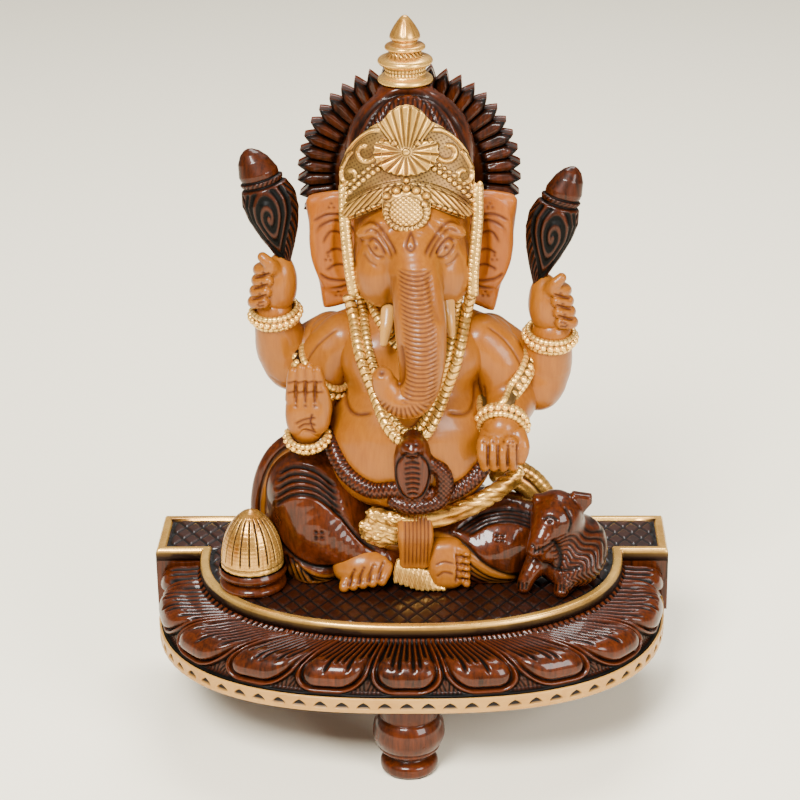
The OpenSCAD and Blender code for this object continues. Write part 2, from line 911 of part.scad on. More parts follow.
module finial() {
    color(gold) translate([cap_top_at.x, cap_top_at.y, finial_base_z]) rotate_extrude($fn = 64) difference() {
        union() {
            square([5.2, 13.4]);
            square([finial_r - 0.8, 1.8]);
            translate([finial_r - 0.9, 0.9]) circle(r = 0.9, $fn = 24);
            translate([0, 1.7]) square([6.4, 4]);
            translate([0, 5.6]) square([finial_r - 1.2, 2.4]);
            translate([finial_r - 1.2, 6.8]) circle(r = 1.2, $fn = 24);
            polygon([[0, 8], [7.2, 8], [5, 9.4], [0, 9.4]]);
            translate([0, 10.4]) square([5.4, 1.6]);
            translate([5.4, 11.2]) circle(r = 0.8, $fn = 24);
            translate([0, 12]) square([3.9, 1.6]);
            polygon([[0, 13.2], [4.2, 13.4], [4.7, 14.2], [4.4, 15.2], [1.3, finial_h - 0.7],
                [0.8, finial_h - 0.15], [0, finial_h]]);
        }
        translate([-1, -1]) square([small_dowel_r + dowel_gap + 1, 7]);
        translate([-20, -1]) square([20, 40]);
    }
}

module finial_dowel() {
    color(light_wood) translate([cap_top_at.x, cap_top_at.y, finial_dowel_z])
        cylinder(r = small_dowel_r, h = finial_dowel_h, $fn = 32);
}

halo_at = [0.5, 39, 122.8];
halo_dowel_spacing = 9;

function star_points(count, tip_r, valley_r) = [
    for (i = [0 : 2 * count - 1])
        let (a = 90 + 180 * i / count, r = i % 2 == 0 ? tip_r : valley_r)
        [r * cos(a), r * sin(a)]
];

module halo() {
    color(lacquered_dark) translate(halo_at) rotate([90, 0, 0]) difference() {
        union() {
            translate([0, 0, -halo_t]) linear_extrude(halo_t)
                polygon(star_points(ray_count, halo_r, halo_r - 3.6));
            cylinder(r = halo_r - 8, h = 1.6, $fn = 96);
        }
        for (side = [-1, 1]) translate([side * halo_dowel_spacing, 0, -3])
            cylinder(r = small_dowel_r + dowel_gap, h = 10, $fn = 32);
    }
}

// Space that the halo takes out of the cap.
module halo_back_space() {
    translate([0, halo_at.y + 8.4, halo_at.z]) cube([90, 20, 90], center = true);
}

module halo_dowel_shapes() {
    for (side = [-1, 1]) translate([halo_at.x + side * halo_dowel_spacing, halo_at.y + 2.6, halo_at.z])
        rotate([90, 0, 0]) cylinder(r = small_dowel_r, h = 11, $fn = 32);
}

module halo_dowels() {
    color(light_wood) halo_dowel_shapes();
}

// ---- Offerings on the deck ----

bowl_at = [-49.5, -2.5];
bowl_h = 7.6;

module offering_bowl() {
    color(lacquered_dark) translate(bowl_at) rotate_extrude($fn = 64) difference() {
        union() {
            square([dome_r - 0.6, 1.4]);
            translate([dome_r - 1, 1.6]) circle(r = 1.5, $fn = 32);
            square([dome_r - 1.6, bowl_h]);
            translate([0, 4.2]) square([dome_r - 0.4, bowl_h - 4.2]);
            translate([dome_r - 0.8, 5.8]) circle(r = 1.5, $fn = 32);
        }
        translate([-20, -1]) square([20, 20]);
        translate([-1, -3]) square([30, 3]);
    }
}

module sweet_dome() {
    steps = 14;
    outline = [
        for (i = [0 : steps])
            let (t = i / steps, width = i == steps ? 0 : pow(cos(90 * t), 0.62))
            [dome_r * width * (1 - 0.06 * t), dome_h * pow(t, 0.86)]
    ];
    color(gold) translate([bowl_at.x, bowl_at.y, bowl_h])
        rotate_extrude($fn = 64) polygon(concat([[0, 0]], outline));
}

module mouse_mass() {
    mass([50.5, 3, 10.6], [12, 10.5, 12], fn = 14);
    mass([51, -2, 7], [9.5, 9, 8], fn = 12);
    mass([44.2, -1.6, 23.6], [6.2, 8, 6], [30, 0, 12], fn = 12);
    limb([46, 0, 18], 6.2, [44, -2, 24], 5, 8);
    limb([42.6, -4, 22.6], 3.6, [39, -8.4, 20.4], 1.7, 8);
    limb([42, -2, 9], 3.2, [35.5, -7.8, 3], 2.4, 6);
    limb([50, -6, 8], 3, [49, -9, 2.6], 2.4, 6);
}

module mouse() {
    ear_half = mouse_ear_span / 2;
    color(lacquered_dark) render() difference() {
        union() {
            mouse_mass();
            hull() {
                translate([45.6 - ear_half - 3, 1, 27]) sphere(r = 1.5, $fn = 8);
                translate([45.6 - ear_half + 3, 1, 28.4]) sphere(r = 1.5, $fn = 8);
                translate([45.6 - ear_half, 1.2, 22]) sphere(r = 1.5, $fn = 8);
            }
            limb([45.6 + ear_half - 3, 2.6, 24], 2, [45.6 + ear_half, 3.4, 28.2], 2.2, 8);
            limb([46, -3, 13], 2.6, [40.6, -8.2, 15], 2.2, 6);
        }
        under_deck();
        seat_mass();
    }
}

plinth_core();
lotus_petal_ring();
rim_band();
deck_trim();
deck_panel();
front_foot();
rear_foot_right();
rear_foot_left();
foot_dowels();
figure_screws();
on_deck() seat_block();
on_deck() right_leg();
on_deck() left_leg();
on_deck() right_bare_foot();
on_deck() left_bare_foot();
on_deck() right_cloth_flap();
on_deck() left_cloth_flap();
on_deck() waist_band();
on_deck() front_sash();
on_deck() sash_tassels();
on_deck() torso();
on_deck() snake_belt();
on_deck() cobra_hood();
on_deck() necklace_garland();
on_deck() necklace_choker();
on_deck() front_right_arm();
on_deck() front_right_palm();
on_deck() front_left_arm();
on_deck() front_left_hand();
on_deck() rear_right_arm();
on_deck() rear_right_fist();
on_deck() rear_left_arm();
on_deck() rear_left_fist();
on_deck() armlets();
on_deck() bangles();
on_deck() right_conch();
on_deck() left_conch();
on_deck() head();
on_deck() trunk();
on_deck() right_ear();
on_deck() left_ear();
on_deck() tusks();
on_deck() crown_plate();
on_deck() crown_cap();
on_deck() bead_strands();
on_deck() finial();
on_deck() finial_dowel();
on_deck() halo();
on_deck() halo_dowels();
on_deck() offering_bowl();
on_deck() sweet_dome();
on_deck() mouse();
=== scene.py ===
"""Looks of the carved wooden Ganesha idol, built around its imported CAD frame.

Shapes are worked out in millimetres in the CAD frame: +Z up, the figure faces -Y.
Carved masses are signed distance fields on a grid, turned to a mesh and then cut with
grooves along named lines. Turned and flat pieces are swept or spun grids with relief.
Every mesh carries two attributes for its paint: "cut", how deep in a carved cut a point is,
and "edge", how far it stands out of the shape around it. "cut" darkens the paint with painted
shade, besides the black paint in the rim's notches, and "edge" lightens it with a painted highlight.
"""

import math

import bpy
import numpy as np
from mathutils import Matrix, Vector


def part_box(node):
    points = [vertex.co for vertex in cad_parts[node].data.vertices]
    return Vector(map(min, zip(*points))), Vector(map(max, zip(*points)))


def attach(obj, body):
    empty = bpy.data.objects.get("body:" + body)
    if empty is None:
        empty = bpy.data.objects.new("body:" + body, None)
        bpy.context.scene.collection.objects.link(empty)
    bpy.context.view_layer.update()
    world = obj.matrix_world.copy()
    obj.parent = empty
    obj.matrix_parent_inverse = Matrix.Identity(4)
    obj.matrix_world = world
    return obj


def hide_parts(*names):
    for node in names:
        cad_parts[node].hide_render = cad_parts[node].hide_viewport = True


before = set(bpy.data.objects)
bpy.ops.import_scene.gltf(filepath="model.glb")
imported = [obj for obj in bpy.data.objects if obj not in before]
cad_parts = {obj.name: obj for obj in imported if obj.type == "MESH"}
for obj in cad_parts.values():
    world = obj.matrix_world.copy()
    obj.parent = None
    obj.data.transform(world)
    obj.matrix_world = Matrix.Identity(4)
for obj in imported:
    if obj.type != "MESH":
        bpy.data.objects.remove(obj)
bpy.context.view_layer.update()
MM = 0.001
# Grid steps of the sculpted masses, and of the finer hands and feet.
FINE = 0.42
HAND_FINE = FINE * 0.85


def corner(node, which):
    """Low (0) or high (1) corner of a CAD node, in millimetres."""
    return np.array(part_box(node)[which], dtype=float) / MM


def middle(node):
    return (corner(node, 0) + corner(node, 1)) / 2


DECK = corner("deck_panel", 1)[2]
BACK_Y = corner("plinth_core", 1)[1]
FRONT_Y = corner("rim_band", 0)[1]
HALF_W = corner("plinth_core", 1)[0]
BLOCK_Y = corner("rim_band", 1)[1]
UNDERSIDE = corner("plinth_core", 0)[2]
RIM_TOP = corner("rim_band", 1)[2]
TRIM_LOW = corner("deck_trim", 0)[2]

# ---------------------------------------------------------------- colours

# Each paint has its own colour, a lighter tone for grain and for the painted highlight on edges, and a
# darkest tone for painted shade in cuts and hollows, for random blotches and specks, and for the black paint
# in the rim's notches.
SRGB = {
    "tan": (122, 66, 9), "tan_light": (142, 84, 17), "tan_cut": (58, 18, 2),
    "ear": (136, 68, 9), "ear_light": (158, 88, 18), "ear_cut": (54, 15, 2),
    "dark": (18, 6, 1), "dark_light": (84, 33, 4), "dark_cut": (1, 1, 0),
    "gold": (146, 88, 22), "gold_light": (246, 194, 98), "gold_cut": (34, 13, 2),
    "cream": (158, 110, 46), "cream_light": (186, 140, 70), "cream_cut": (10, 4, 1),
    "deck": (22, 7, 2), "deck_light": (48, 17, 4), "deck_cut": (2, 1, 0),
    "tusk": (166, 112, 44), "tusk_light": (186, 136, 66), "tusk_cut": (80, 36, 8),
    "bare": (150, 104, 52), "bare_light": (176, 128, 70), "bare_cut": (80, 42, 14),
    "steel": (112, 112, 114), "steel_light": (150, 150, 152), "steel_cut": (40, 40, 42),
    "floor": (252, 244, 220),
}


def linear(name):
    values = [c / 255 for c in SRGB[name]]
    return tuple(c / 12.92 if c <= 0.04045 else ((c + 0.055) / 1.055) ** 2.4 for c in values) + (1,)


# ---------------------------------------------------------------- materials


class Nodes:
    """Short forms for building a node tree."""

    def __init__(self, name):
        self.mat = bpy.data.materials.new(name)
        self.mat.use_nodes = True
        self.tree = self.mat.node_tree
        self.bsdf = self.tree.nodes["Principled BSDF"]

    def add(self, kind, **inputs):
        node = self.tree.nodes.new(kind)
        for key, value in inputs.items():
            self.feed(node, key.replace("_", " "), value)
        return node

    def feed(self, node, key, value):
        socket = node.inputs[int(key)] if key.strip().isdigit() else node.inputs[key]
        if isinstance(value, bpy.types.NodeSocket):
            self.tree.links.new(value, socket)
        else:
            socket.default_value = value

    def coords(self, scale):
        place = self.add("ShaderNodeMapping", Vector=self.add("ShaderNodeTexCoord").outputs["Object"])
        place.inputs["Scale"].default_value = scale
        return place.outputs["Vector"]

    def noise(self, scale, size, detail=4.0, rough=0.55):
        node = self.add("ShaderNodeTexNoise", Vector=self.coords(scale), Scale=size, Detail=detail,
                        Roughness=rough)
        return node.outputs["Fac"]

    def math(self, operation, a, b=0.0, clamp=False):
        node = self.add("ShaderNodeMath")
        node.operation = operation
        node.use_clamp = clamp
        self.feed(node, "0", a)
        self.feed(node, "1", b)
        return node.outputs["Value"]

    def remap(self, value, low, high, to_low=0.0, to_high=1.0):
        node = self.add("ShaderNodeMapRange", Value=value)
        for key, number in (("From Min", low), ("From Max", high), ("To Min", to_low), ("To Max", to_high)):
            node.inputs[key].default_value = number
        return node.outputs["Result"]

    def mix(self, factor, a, b):
        node = self.add("ShaderNodeMix")
        node.data_type = "RGBA"
        self.feed(node, "0", factor)
        for index, value in ((6, a), (7, b)):
            if isinstance(value, bpy.types.NodeSocket):
                self.tree.links.new(value, node.inputs[index])
            else:
                self.set(node, index, value)
        return node.outputs[2]

    def set(self, node, index, value):
        node.inputs[index].default_value = value

    def attribute(self, name):
        node = self.add("ShaderNodeAttribute")
        node.attribute_name = name
        return node.outputs["Fac"]


def painted_wood(name, colour, rough, coat, coat_rough, grain, grain_axis=2, cut_shade_gain=1.0, edge_highlight_gain=0.6,
                 metallic=0.0, speck=0.0, gilded=False, shine=0.5):
    """Stained or painted carved wood under lacquer: grain, blotches and specks, painted shade that darkens
    the cuts and hollows, and a painted highlight that lightens the edges.
    """
    m = Nodes(name)
    stretch = [1.0, 1.0, 1.0]
    stretch[grain_axis] = 0.1
    streaks = m.noise(stretch, 900.0, 5.0, 0.6)
    blotch = m.noise((1, 1, 1), 55.0, 3.0, 0.5)
    fine = m.noise((1, 1, 1), 2600.0, 2.0, 0.5)
    tone = m.math("ADD", m.math("MULTIPLY", streaks, grain), m.math("MULTIPLY", blotch, 1.0 - grain))
    base = m.mix(m.remap(tone, 0.36, 0.66), linear(colour), linear(colour + "_light"))
    if gilded:
        gilt = m.math("MULTIPLY", m.attribute("gilt"), m.remap(blotch, 0.3, 0.45, 0.75, 1.0), clamp=True)
        base = m.mix(gilt, base, linear("gold"))
        metallic = m.math("MULTIPLY", gilt, 0.35)
    # Painted highlight: parts that stand out take the lighter tone.
    edge = m.math("MULTIPLY", m.attribute("edge"), edge_highlight_gain, clamp=True)
    base = m.mix(edge, base, linear(colour + "_light"))
    # Painted shade in cuts and hollows, together with random blotches, pulls the colour towards the darkest
    # tone.
    cut = m.attribute("cut")
    shade_and_blotch = m.math("ADD", m.math("MULTIPLY", cut, cut_shade_gain), m.remap(blotch, 0.5, 0.75, 0.0, 0.18))
    base = m.mix(m.math("MULTIPLY", shade_and_blotch, 1.0, clamp=True), base, linear(colour + "_cut"))
    if speck:
        dots = m.remap(fine, 0.66, 0.74, 0.0, speck)
        base = m.mix(dots, base, linear(colour + "_cut"))
    m.feed(m.bsdf, "Base Color", base)
    roughness = m.math("ADD", m.remap(m.noise((1, 1, 1), 160.0), 0.3, 0.7, rough - 0.06, rough + 0.08),
                       m.math("MULTIPLY", cut, 0.22))
    m.feed(m.bsdf, "Roughness", roughness)
    m.feed(m.bsdf, "Metallic", metallic)
    m.bsdf.inputs["Specular IOR Level"].default_value = shine
    m.feed(m.bsdf, "Coat Weight", m.math("MULTIPLY", m.math("SUBTRACT", 1.0, cut, clamp=True), coat))
    m.bsdf.inputs["Coat Roughness"].default_value = coat_rough
    bump = m.add("ShaderNodeBump", Strength=0.25, Distance=0.00012)
    height = m.math("ADD", m.math("MULTIPLY", streaks, 0.7), m.math("MULTIPLY", fine, 0.3))
    m.feed(bump, "Height", height)
    m.feed(m.bsdf, "Normal", bump.outputs["Normal"])
    return m.mat


PAINT = {
    "tan": painted_wood("tan_wood", "tan", 0.38, 0.25, 0.16, 0.5, cut_shade_gain=0.9, edge_highlight_gain=0.3, speck=0.25,
                        shine=0.2),
    "ear": painted_wood("ear_wood", "ear", 0.42, 0.2, 0.2, 0.5, cut_shade_gain=0.9, edge_highlight_gain=0.3, speck=0.25,
                        shine=0.2),
    "dark": painted_wood("dark_wood", "dark", 0.32, 0.4, 0.05, 0.6, cut_shade_gain=1.0, edge_highlight_gain=0.8, gilded=True,
                         shine=0.1),
    "gold": painted_wood("gold_paint", "gold", 0.26, 0.1, 0.2, 0.2, cut_shade_gain=1.0, edge_highlight_gain=1.0,
                         metallic=0.7),
    "cream": painted_wood("cream_paint", "cream", 0.4, 0.15, 0.25, 0.35, grain_axis=0, cut_shade_gain=1.0,
                          edge_highlight_gain=0.4, shine=0.3),
    "deck": painted_wood("deck_wood", "deck", 0.4, 0.4, 0.1, 0.5, grain_axis=0, cut_shade_gain=1.0, edge_highlight_gain=0.6,
                         shine=0.2),
    "tusk": painted_wood("tusk_wood", "tusk", 0.3, 0.3, 0.15, 0.3, cut_shade_gain=0.9, edge_highlight_gain=0.3, shine=0.3),
    "bare": painted_wood("dowel_wood", "bare", 0.6, 0.0, 0.3, 0.6),
    "steel": painted_wood("screw_steel", "steel", 0.35, 0.0, 0.3, 0.1, metallic=1.0),
}
CARRIED_OVER = {"plinth_core": "dark", "foot_dowels": "bare", "finial_dowel": "bare", "halo_dowels": "bare",
                "figure_screws": "steel"}

# ---------------------------------------------------------------- meshes


def smooth_over(values, edges, count, rounds):
    """Averages values over each point's neighbours, the given number of times."""
    out = values.copy()
    ends = np.concatenate([edges[:, 0], edges[:, 1]])
    others = np.concatenate([edges[:, 1], edges[:, 0]])
    degree = np.maximum(np.bincount(ends, minlength=count), 1)[:, None]
    for _ in range(rounds):
        total = np.stack([np.bincount(ends, out[others, k], count) for k in range(out.shape[1])], 1)
        out = 0.5 * out + 0.5 * total / degree
    return out


def quad_edges(faces):
    pairs = np.concatenate([faces[:, [k, (k + 1) % faces.shape[1]]] for k in range(faces.shape[1])])
    pairs = pairs[pairs[:, 0] != pairs[:, 1]]
    return np.unique(np.sort(pairs, 1), axis=0)


def point_normals(points, faces):
    a, b, c, d = (points[faces[:, k]] for k in (0, 1, 2, -1))
    flat = np.cross(c - a, d - b)
    out = np.zeros_like(points)
    for k in range(faces.shape[1]):
        for axis in range(3):
            out[:, axis] += np.bincount(faces[:, k], flat[:, axis], len(points))
    return out / np.maximum(np.linalg.norm(out, axis=1, keepdims=True), 1e-12)


def piece(name, points, faces, paint, cut=None, nodes=None, cavity=1.0, extra_faces=(), gilt=None,
          solid=True, shown=None):
    """Makes one mesh piece that stands for CAD nodes. Points are in millimetres."""
    points = np.asarray(points, dtype=np.float64)
    faces = np.asarray(faces, dtype=np.int64)
    whole_faces = faces
    edges = quad_edges(faces)
    if solid:
        flat = np.cross(points[faces[:, 2]] - points[faces[:, 0]], points[faces[:, 3]] - points[faces[:, 1]])
        if ((points[faces[:, 0]] - points.mean(0)) * flat).sum() < 0:
            faces = faces[:, ::-1]
    normals = point_normals(points, faces)
    # Painted shade: points lying below their smoothed neighbours get "cut" darkness. Painted highlight:
    # points standing out get "edge" lightness.
    relaxed = smooth_over(points, edges, len(points), 8)
    hollow = ((relaxed - points) * normals).sum(1)
    dark = np.clip(hollow * 2.6 * cavity, 0, 1)
    if cut is not None:
        dark = np.clip(np.maximum(dark, cut), 0, 1)
    edge = np.clip(-hollow * 3.0, 0, 1)

    gilt = np.zeros(len(points)) if gilt is None else gilt
    if shown is not None:
        used = np.unique(shown)
        new = np.zeros(len(points), np.int64)
        new[used] = np.arange(len(used))
        faces = new[shown]
        whole = point_normals(points, np.asarray(whole_faces))[used]
        points, dark, edge, gilt = points[used], dark[used], edge[used], gilt[used]

    mesh = bpy.data.meshes.new(name)
    sides = faces.shape[1]
    loops = faces.ravel()
    starts = np.arange(len(faces)) * sides
    totals = np.full(len(faces), sides)
    for extra in extra_faces:
        starts = np.append(starts, len(loops))
        totals = np.append(totals, len(extra))
        loops = np.concatenate([loops, extra])
    mesh.vertices.add(len(points))
    mesh.vertices.foreach_set("co", (points * MM).astype(np.float32).ravel())
    mesh.loops.add(len(loops))
    mesh.loops.foreach_set("vertex_index", loops.astype(np.int32))
    mesh.polygons.add(len(starts))
    mesh.polygons.foreach_set("loop_start", starts.astype(np.int32))
    mesh.polygons.foreach_set("loop_total", totals.astype(np.int32))
    mesh.update(calc_edges=True)
    mesh.validate()
    for label, values in (("cut", dark), ("edge", edge), ("gilt", gilt)):
        layer = mesh.attributes.new(label, "FLOAT", "POINT")
        layer.data.foreach_set("value", values.astype(np.float32))
    mesh.shade_smooth()
    if shown is not None:
        mesh.normals_split_custom_set_from_vertices(whole.tolist())
    mesh.materials.append(PAINT[paint])
    item = bpy.data.objects.new(name, mesh)
    bpy.context.scene.collection.objects.link(item)
    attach(item, "root")
    if nodes:
        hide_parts(*nodes)
    return item


def grid_faces(rows, columns, wrap_rows=False, wrap_columns=False):
    """Quads over a grid of rows x columns points, numbered row by row."""
    i = np.arange(rows if wrap_rows else rows - 1)[:, None]
    j = np.arange(columns if wrap_columns else columns - 1)[None, :]
    i2, j2 = (i + 1) % rows, (j + 1) % columns
    quads = np.stack(np.broadcast_arrays(i * columns + j, i2 * columns + j, i2 * columns + j2,
                                         i * columns + j2), -1)
    return quads.reshape(-1, 4)


def ring_caps(rows, columns):
    """End faces of a swept closed profile: the first row and the last row."""
    return [np.arange(columns), np.arange(columns)[::-1] + (rows - 1) * columns]


def through(points, count, closed=False):
    """Smooth curve through points, evenly spaced by length. A point given twice makes a corner."""
    points = np.asarray(points, dtype=float)
    n = len(points)
    out = []
    for i in range(n if closed else n - 1):
        if closed:
            p0, p1, p2, p3 = (points[(i + k - 1) % n] for k in range(4))
        else:
            p0, p1, p2, p3 = (points[min(max(i + k - 1, 0), n - 1)] for k in range(4))
        t = np.linspace(0, 1, 16, endpoint=False)[:, None]
        out.append(0.5 * (2 * p1 + (p2 - p0) * t + (2 * p0 - 5 * p1 + 4 * p2 - p3) * t ** 2
                          + (3 * p1 - p0 - 3 * p2 + p3) * t ** 3))
    if not closed:
        out.append(points[-1:])
    dense = np.concatenate(out)
    if closed:
        dense = np.concatenate([dense, dense[:1]])
    lengths = np.concatenate([[0], np.cumsum(np.linalg.norm(np.diff(dense, axis=0), axis=1))])
    where = np.linspace(0, lengths[-1], count + 1 if closed else count)
    even = np.stack([np.interp(where, lengths, dense[:, k]) for k in range(dense.shape[1])], 1)
    return even[:-1] if closed else even


def groove(distance, width):
    """1 in the middle of a cut and 0 beyond its width."""
    return np.exp(-(distance / (0.5 * width)) ** 2)


def saw(value, pitch):
    """Distance to the nearest multiple of the pitch."""
    return np.abs((value / pitch + 0.5) % 1.0 - 0.5) * pitch


def step(value, low, high):
    t = np.clip((value - low) / (high - low), 0, 1)
    return t * t * (3 - 2 * t)


def wobble(points, size, seed=0.0):
    """Smooth uneven values between about -1 and 1, for hand-cut irregularity."""
    x, y, z = (points[..., k] / size for k in range(3))
    return (np.sin(1.7 * x + 2.3 * z + seed) + np.sin(2.1 * y - 1.3 * x + 2 * seed)
            + np.sin(2.9 * z + 1.9 * y + 3 * seed)) / 3


# ---------------------------------------------------------------- plinth


def half_superellipse(t, a, b, power):
    c, s = np.cos(t), np.sin(t)
    return np.stack([-a * np.sign(c) * np.abs(c) ** (2 / power), BLOCK_Y - b * np.abs(s) ** (2 / power)], -1)


def front_outline(a, b, power, count):
    """Front outline from the left notch to the right one, evenly spaced."""
    dense = half_superellipse(np.linspace(0, math.pi, 4000), a, b, power)
    lengths = np.concatenate([[0], np.cumsum(np.linalg.norm(np.diff(dense, axis=0), axis=1))])
    where = np.linspace(0, lengths[-1], count)
    return np.stack([np.interp(where, lengths, dense[:, k]) for k in range(2)], 1), lengths[-1]


DECK_A, DECK_B, DECK_POWER = HALF_W - 15, BLOCK_Y - FRONT_Y - 15.3, 2.3
RIM_A, RIM_B, RIM_POWER = HALF_W - 1.5, BLOCK_Y - FRONT_Y, 2.6
PETAL_PITCH = 25.0
PETAL_SWELL = 2.5
TRIM_W = 3.2


def petal_coordinate(u, rise, half_length):
    """Petals sweep towards the middle as they rise. Finds where a point's petal line meets the rim."""
    p = u.copy()
    for _ in range(12):
        p = u / (1 - 0.3 * rise ** 1.25 * (1 - np.minimum(np.abs(p) / half_length, 1) ** 3))
    return p


def petal_relief(u, w, length, half_length):
    """Height and painted shade of the lotus carving, at u along the rim and w up from the band."""
    rise = np.clip(w / length, 0, 1)
    p = petal_coordinate(u, rise, half_length)
    k = np.round(p / PETAL_PITCH)
    q = p - PETAL_PITCH * k
    half_w, round_r, foot = 12.3, 9.0, 0.8
    qx = np.abs(q) - (half_w - round_r)
    qy = (foot + round_r) - w
    d = np.hypot(np.maximum(qx, 0), np.maximum(qy, 0)) + np.minimum(np.maximum(qx, qy), 0) - round_r
    low = 1 - step(rise, 0.45, 0.8)
    border = groove(d + 0.8, 1.3)
    bulge = (1 - np.exp(-np.maximum(-d - 1.7, 0) / 1.6)) * (1 - step(w, 8.0, 17.0))
    undercut = groove(d + 1.9, 1.2) * (0.35 + 0.65 * step(-w, -11, -4))
    between = step(d, -0.2, 0.9)
    height = 0.75 * border * (0.5 + 0.5 * low) + 2.7 * bulge - 1.3 * undercut - 1.0 * between * low
    # Painted shade: the undercut below each petal, the sunk triangles between petals and the groove round
    # each petal are darkened.
    dark = 1.1 * undercut + 0.3 * between * low + 0.9 * groove(d - 0.3, 0.8) * low
    # Long cuts that sweep up every petal, each starting at its own height, darkened with painted shade.
    line = np.round(q / 2.45)
    start = 0.36 + 0.09 * np.cos(line * 2.1 + k) + 0.010 * line ** 2
    inside = 1 - step(np.abs(q), half_w - 1.6, half_w - 0.6)
    cuts = groove(saw(q, 2.45), 1.3) * step(rise, start, start + 0.12) * inside
    height -= 1.1 * cuts
    dark += 1.5 * cuts
    # Painted shade in the seam between neighbouring petals.
    seam = groove(np.abs(np.abs(q) - PETAL_PITCH / 2), 1.1) * step(rise, 0.3, 0.45)
    height -= 0.9 * seam
    dark += seam
    # Fine hatching in the small triangles between petals, darkened with painted shade.
    hatch = groove(saw(q + 0.18 * w * np.sign(q), 1.35), 0.6) * between * low * step(w, 0.4, 1.6)
    height -= 0.35 * hatch
    dark += 0.8 * hatch
    # Painted shade in the groove along the foot of the ring.
    foot_line = groove(w - 0.3, 1.1)
    return height - 0.5 * foot_line, np.clip(dark + 0.9 * foot_line, 0, 1)


def make_petal_ring():
    rows = 900
    across = 84
    rim, rim_length = front_outline(RIM_A - 0.7, RIM_B - 0.7, RIM_POWER, rows)
    top, _ = front_outline(DECK_A - 0.3, DECK_B - 0.3, DECK_POWER, rows)
    v = np.linspace(0, 1, across)[None, :, None]
    low = np.concatenate([rim, np.full((rows, 1), RIM_TOP + 0.05)], 1)[:, None]
    high = np.concatenate([top, np.full((rows, 1), TRIM_LOW)], 1)[:, None]
    turn = v * math.pi / 2
    outward = np.cos(turn) ** (2 / PETAL_SWELL)
    upward = np.sin(turn) ** (2 / PETAL_SWELL)
    surface = high + (low - high) * outward
    surface[..., 2] = (RIM_TOP + (TRIM_LOW - RIM_TOP) * upward)[..., 0]
    spans = np.linalg.norm(np.diff(surface, axis=1), axis=2)
    w = np.concatenate([np.zeros((rows, 1)), np.cumsum(spans, 1)], 1)
    u = np.broadcast_to(np.linspace(-rim_length / 2, rim_length / 2, rows)[:, None], w.shape)
    height, dark = petal_relief(u, w, w[:, -1:], rim_length / 2)
    along = np.gradient(surface, axis=0)
    up = np.gradient(surface, axis=1)
    normal = np.cross(along, up)
    normal /= np.linalg.norm(normal, axis=2, keepdims=True)
    outward = surface[:, :, :2] - surface[:, :, :2].mean((0, 1))
    normal *= np.sign((normal[..., :2] * outward).sum(-1, keepdims=True).mean())
    hem = np.minimum(step(w, 0, 1.2), 1 - step(w, w[:, -1:] - 1.2, w[:, -1:]))
    carved = surface + normal * ((height - 0.9) * hem + 0.05)[..., None]
    inner, _ = front_outline(DECK_A - TRIM_W, DECK_B - TRIM_W, DECK_POWER, rows)
    back_high = np.concatenate([inner, np.full((rows, 1), TRIM_LOW)], 1)[:, None]
    back_low = np.concatenate([inner, np.full((rows, 1), RIM_TOP)], 1)[:, None]
    whole = np.concatenate([carved, back_high, back_low], 1)
    dark = np.concatenate([dark, np.zeros((rows, 2))], 1)
    columns = across + 2
    faces = grid_faces(rows, columns, wrap_columns=True)[:, ::-1]
    piece("lotus_petals", whole.reshape(-1, 3), faces, "dark", dark.ravel(), ["lotus_petal_ring"],
          extra_faces=ring_caps(rows, columns))


def make_rim_band():
    rows = 1300
    across = 22
    outer, length = front_outline(RIM_A, RIM_B, RIM_POWER, rows)
    inner, _ = front_outline(RIM_A - 3, RIM_B - 3, RIM_POWER, rows)
    height = RIM_TOP - UNDERSIDE
    z = np.linspace(0.25, height - 0.25, across)[None]
    u = np.linspace(-length / 2, length / 2, rows)[:, None]
    # Notches: cuts with a flat foot and a pointed top.
    pitch, half_w, foot, top = 6.6, 2.2, 1.5, 3.5
    reach = half_w * np.clip(1 - ((z - foot) / (top - foot)).clip(0, 1) ** 1.6, 0, 1) ** 0.8
    notch = step(reach - saw(u, pitch), -0.1, 0.35) * step(z, foot - 0.1, foot + 0.3)
    inward = (inner - outer) / np.linalg.norm(inner - outer, axis=1, keepdims=True)
    wall = outer[:, None] + inward[:, None] * (0.05 + 0.85 * notch + 0.05 * np.sin(u * 1.3))[..., None]
    face = np.concatenate([wall, np.broadcast_to(UNDERSIDE + z, (rows, across))[..., None]], 2)
    def row(edge, level):
        return np.concatenate([edge, np.full((rows, 1), UNDERSIDE + level)], 1)[:, None]
    lip = outer + inward * 0.3
    parts = [row(inner, 0), row(lip, 0), face, row(lip, height), row(inner, height)]
    whole = np.concatenate(parts, 1)
    columns = across + 4
    dark = np.pad(notch, ((0, 0), (2, 2)))
    faces = grid_faces(rows, columns, wrap_columns=True)[:, ::-1]
    piece("notched_band", whole.reshape(-1, 3), faces, "cream", dark.ravel(), ["rim_band"],
          extra_faces=ring_caps(rows, columns))


def deck_path(inset, count):
    """Whole outline of the deck, from the right notch round the back to it again."""
    front, _ = front_outline(DECK_A - inset, DECK_B - inset, DECK_POWER, count)
    a, w, y0, y1 = DECK_A - inset, HALF_W - inset, BLOCK_Y + inset, BACK_Y - inset
    corners = [(a, y0), (w, y0), (w, y1), (-w, y1), (-w, y0), (-a, y0)]
    loop = [front]
    for p, q in zip(corners[:-1], corners[1:]):
        p, q = np.array(p), np.array(q)
        loop.append(p + (q - p) * np.linspace(0, 1, 24, endpoint=False)[:, None])
    loop.append(np.array([corners[-1]]))
    return np.concatenate(loop)


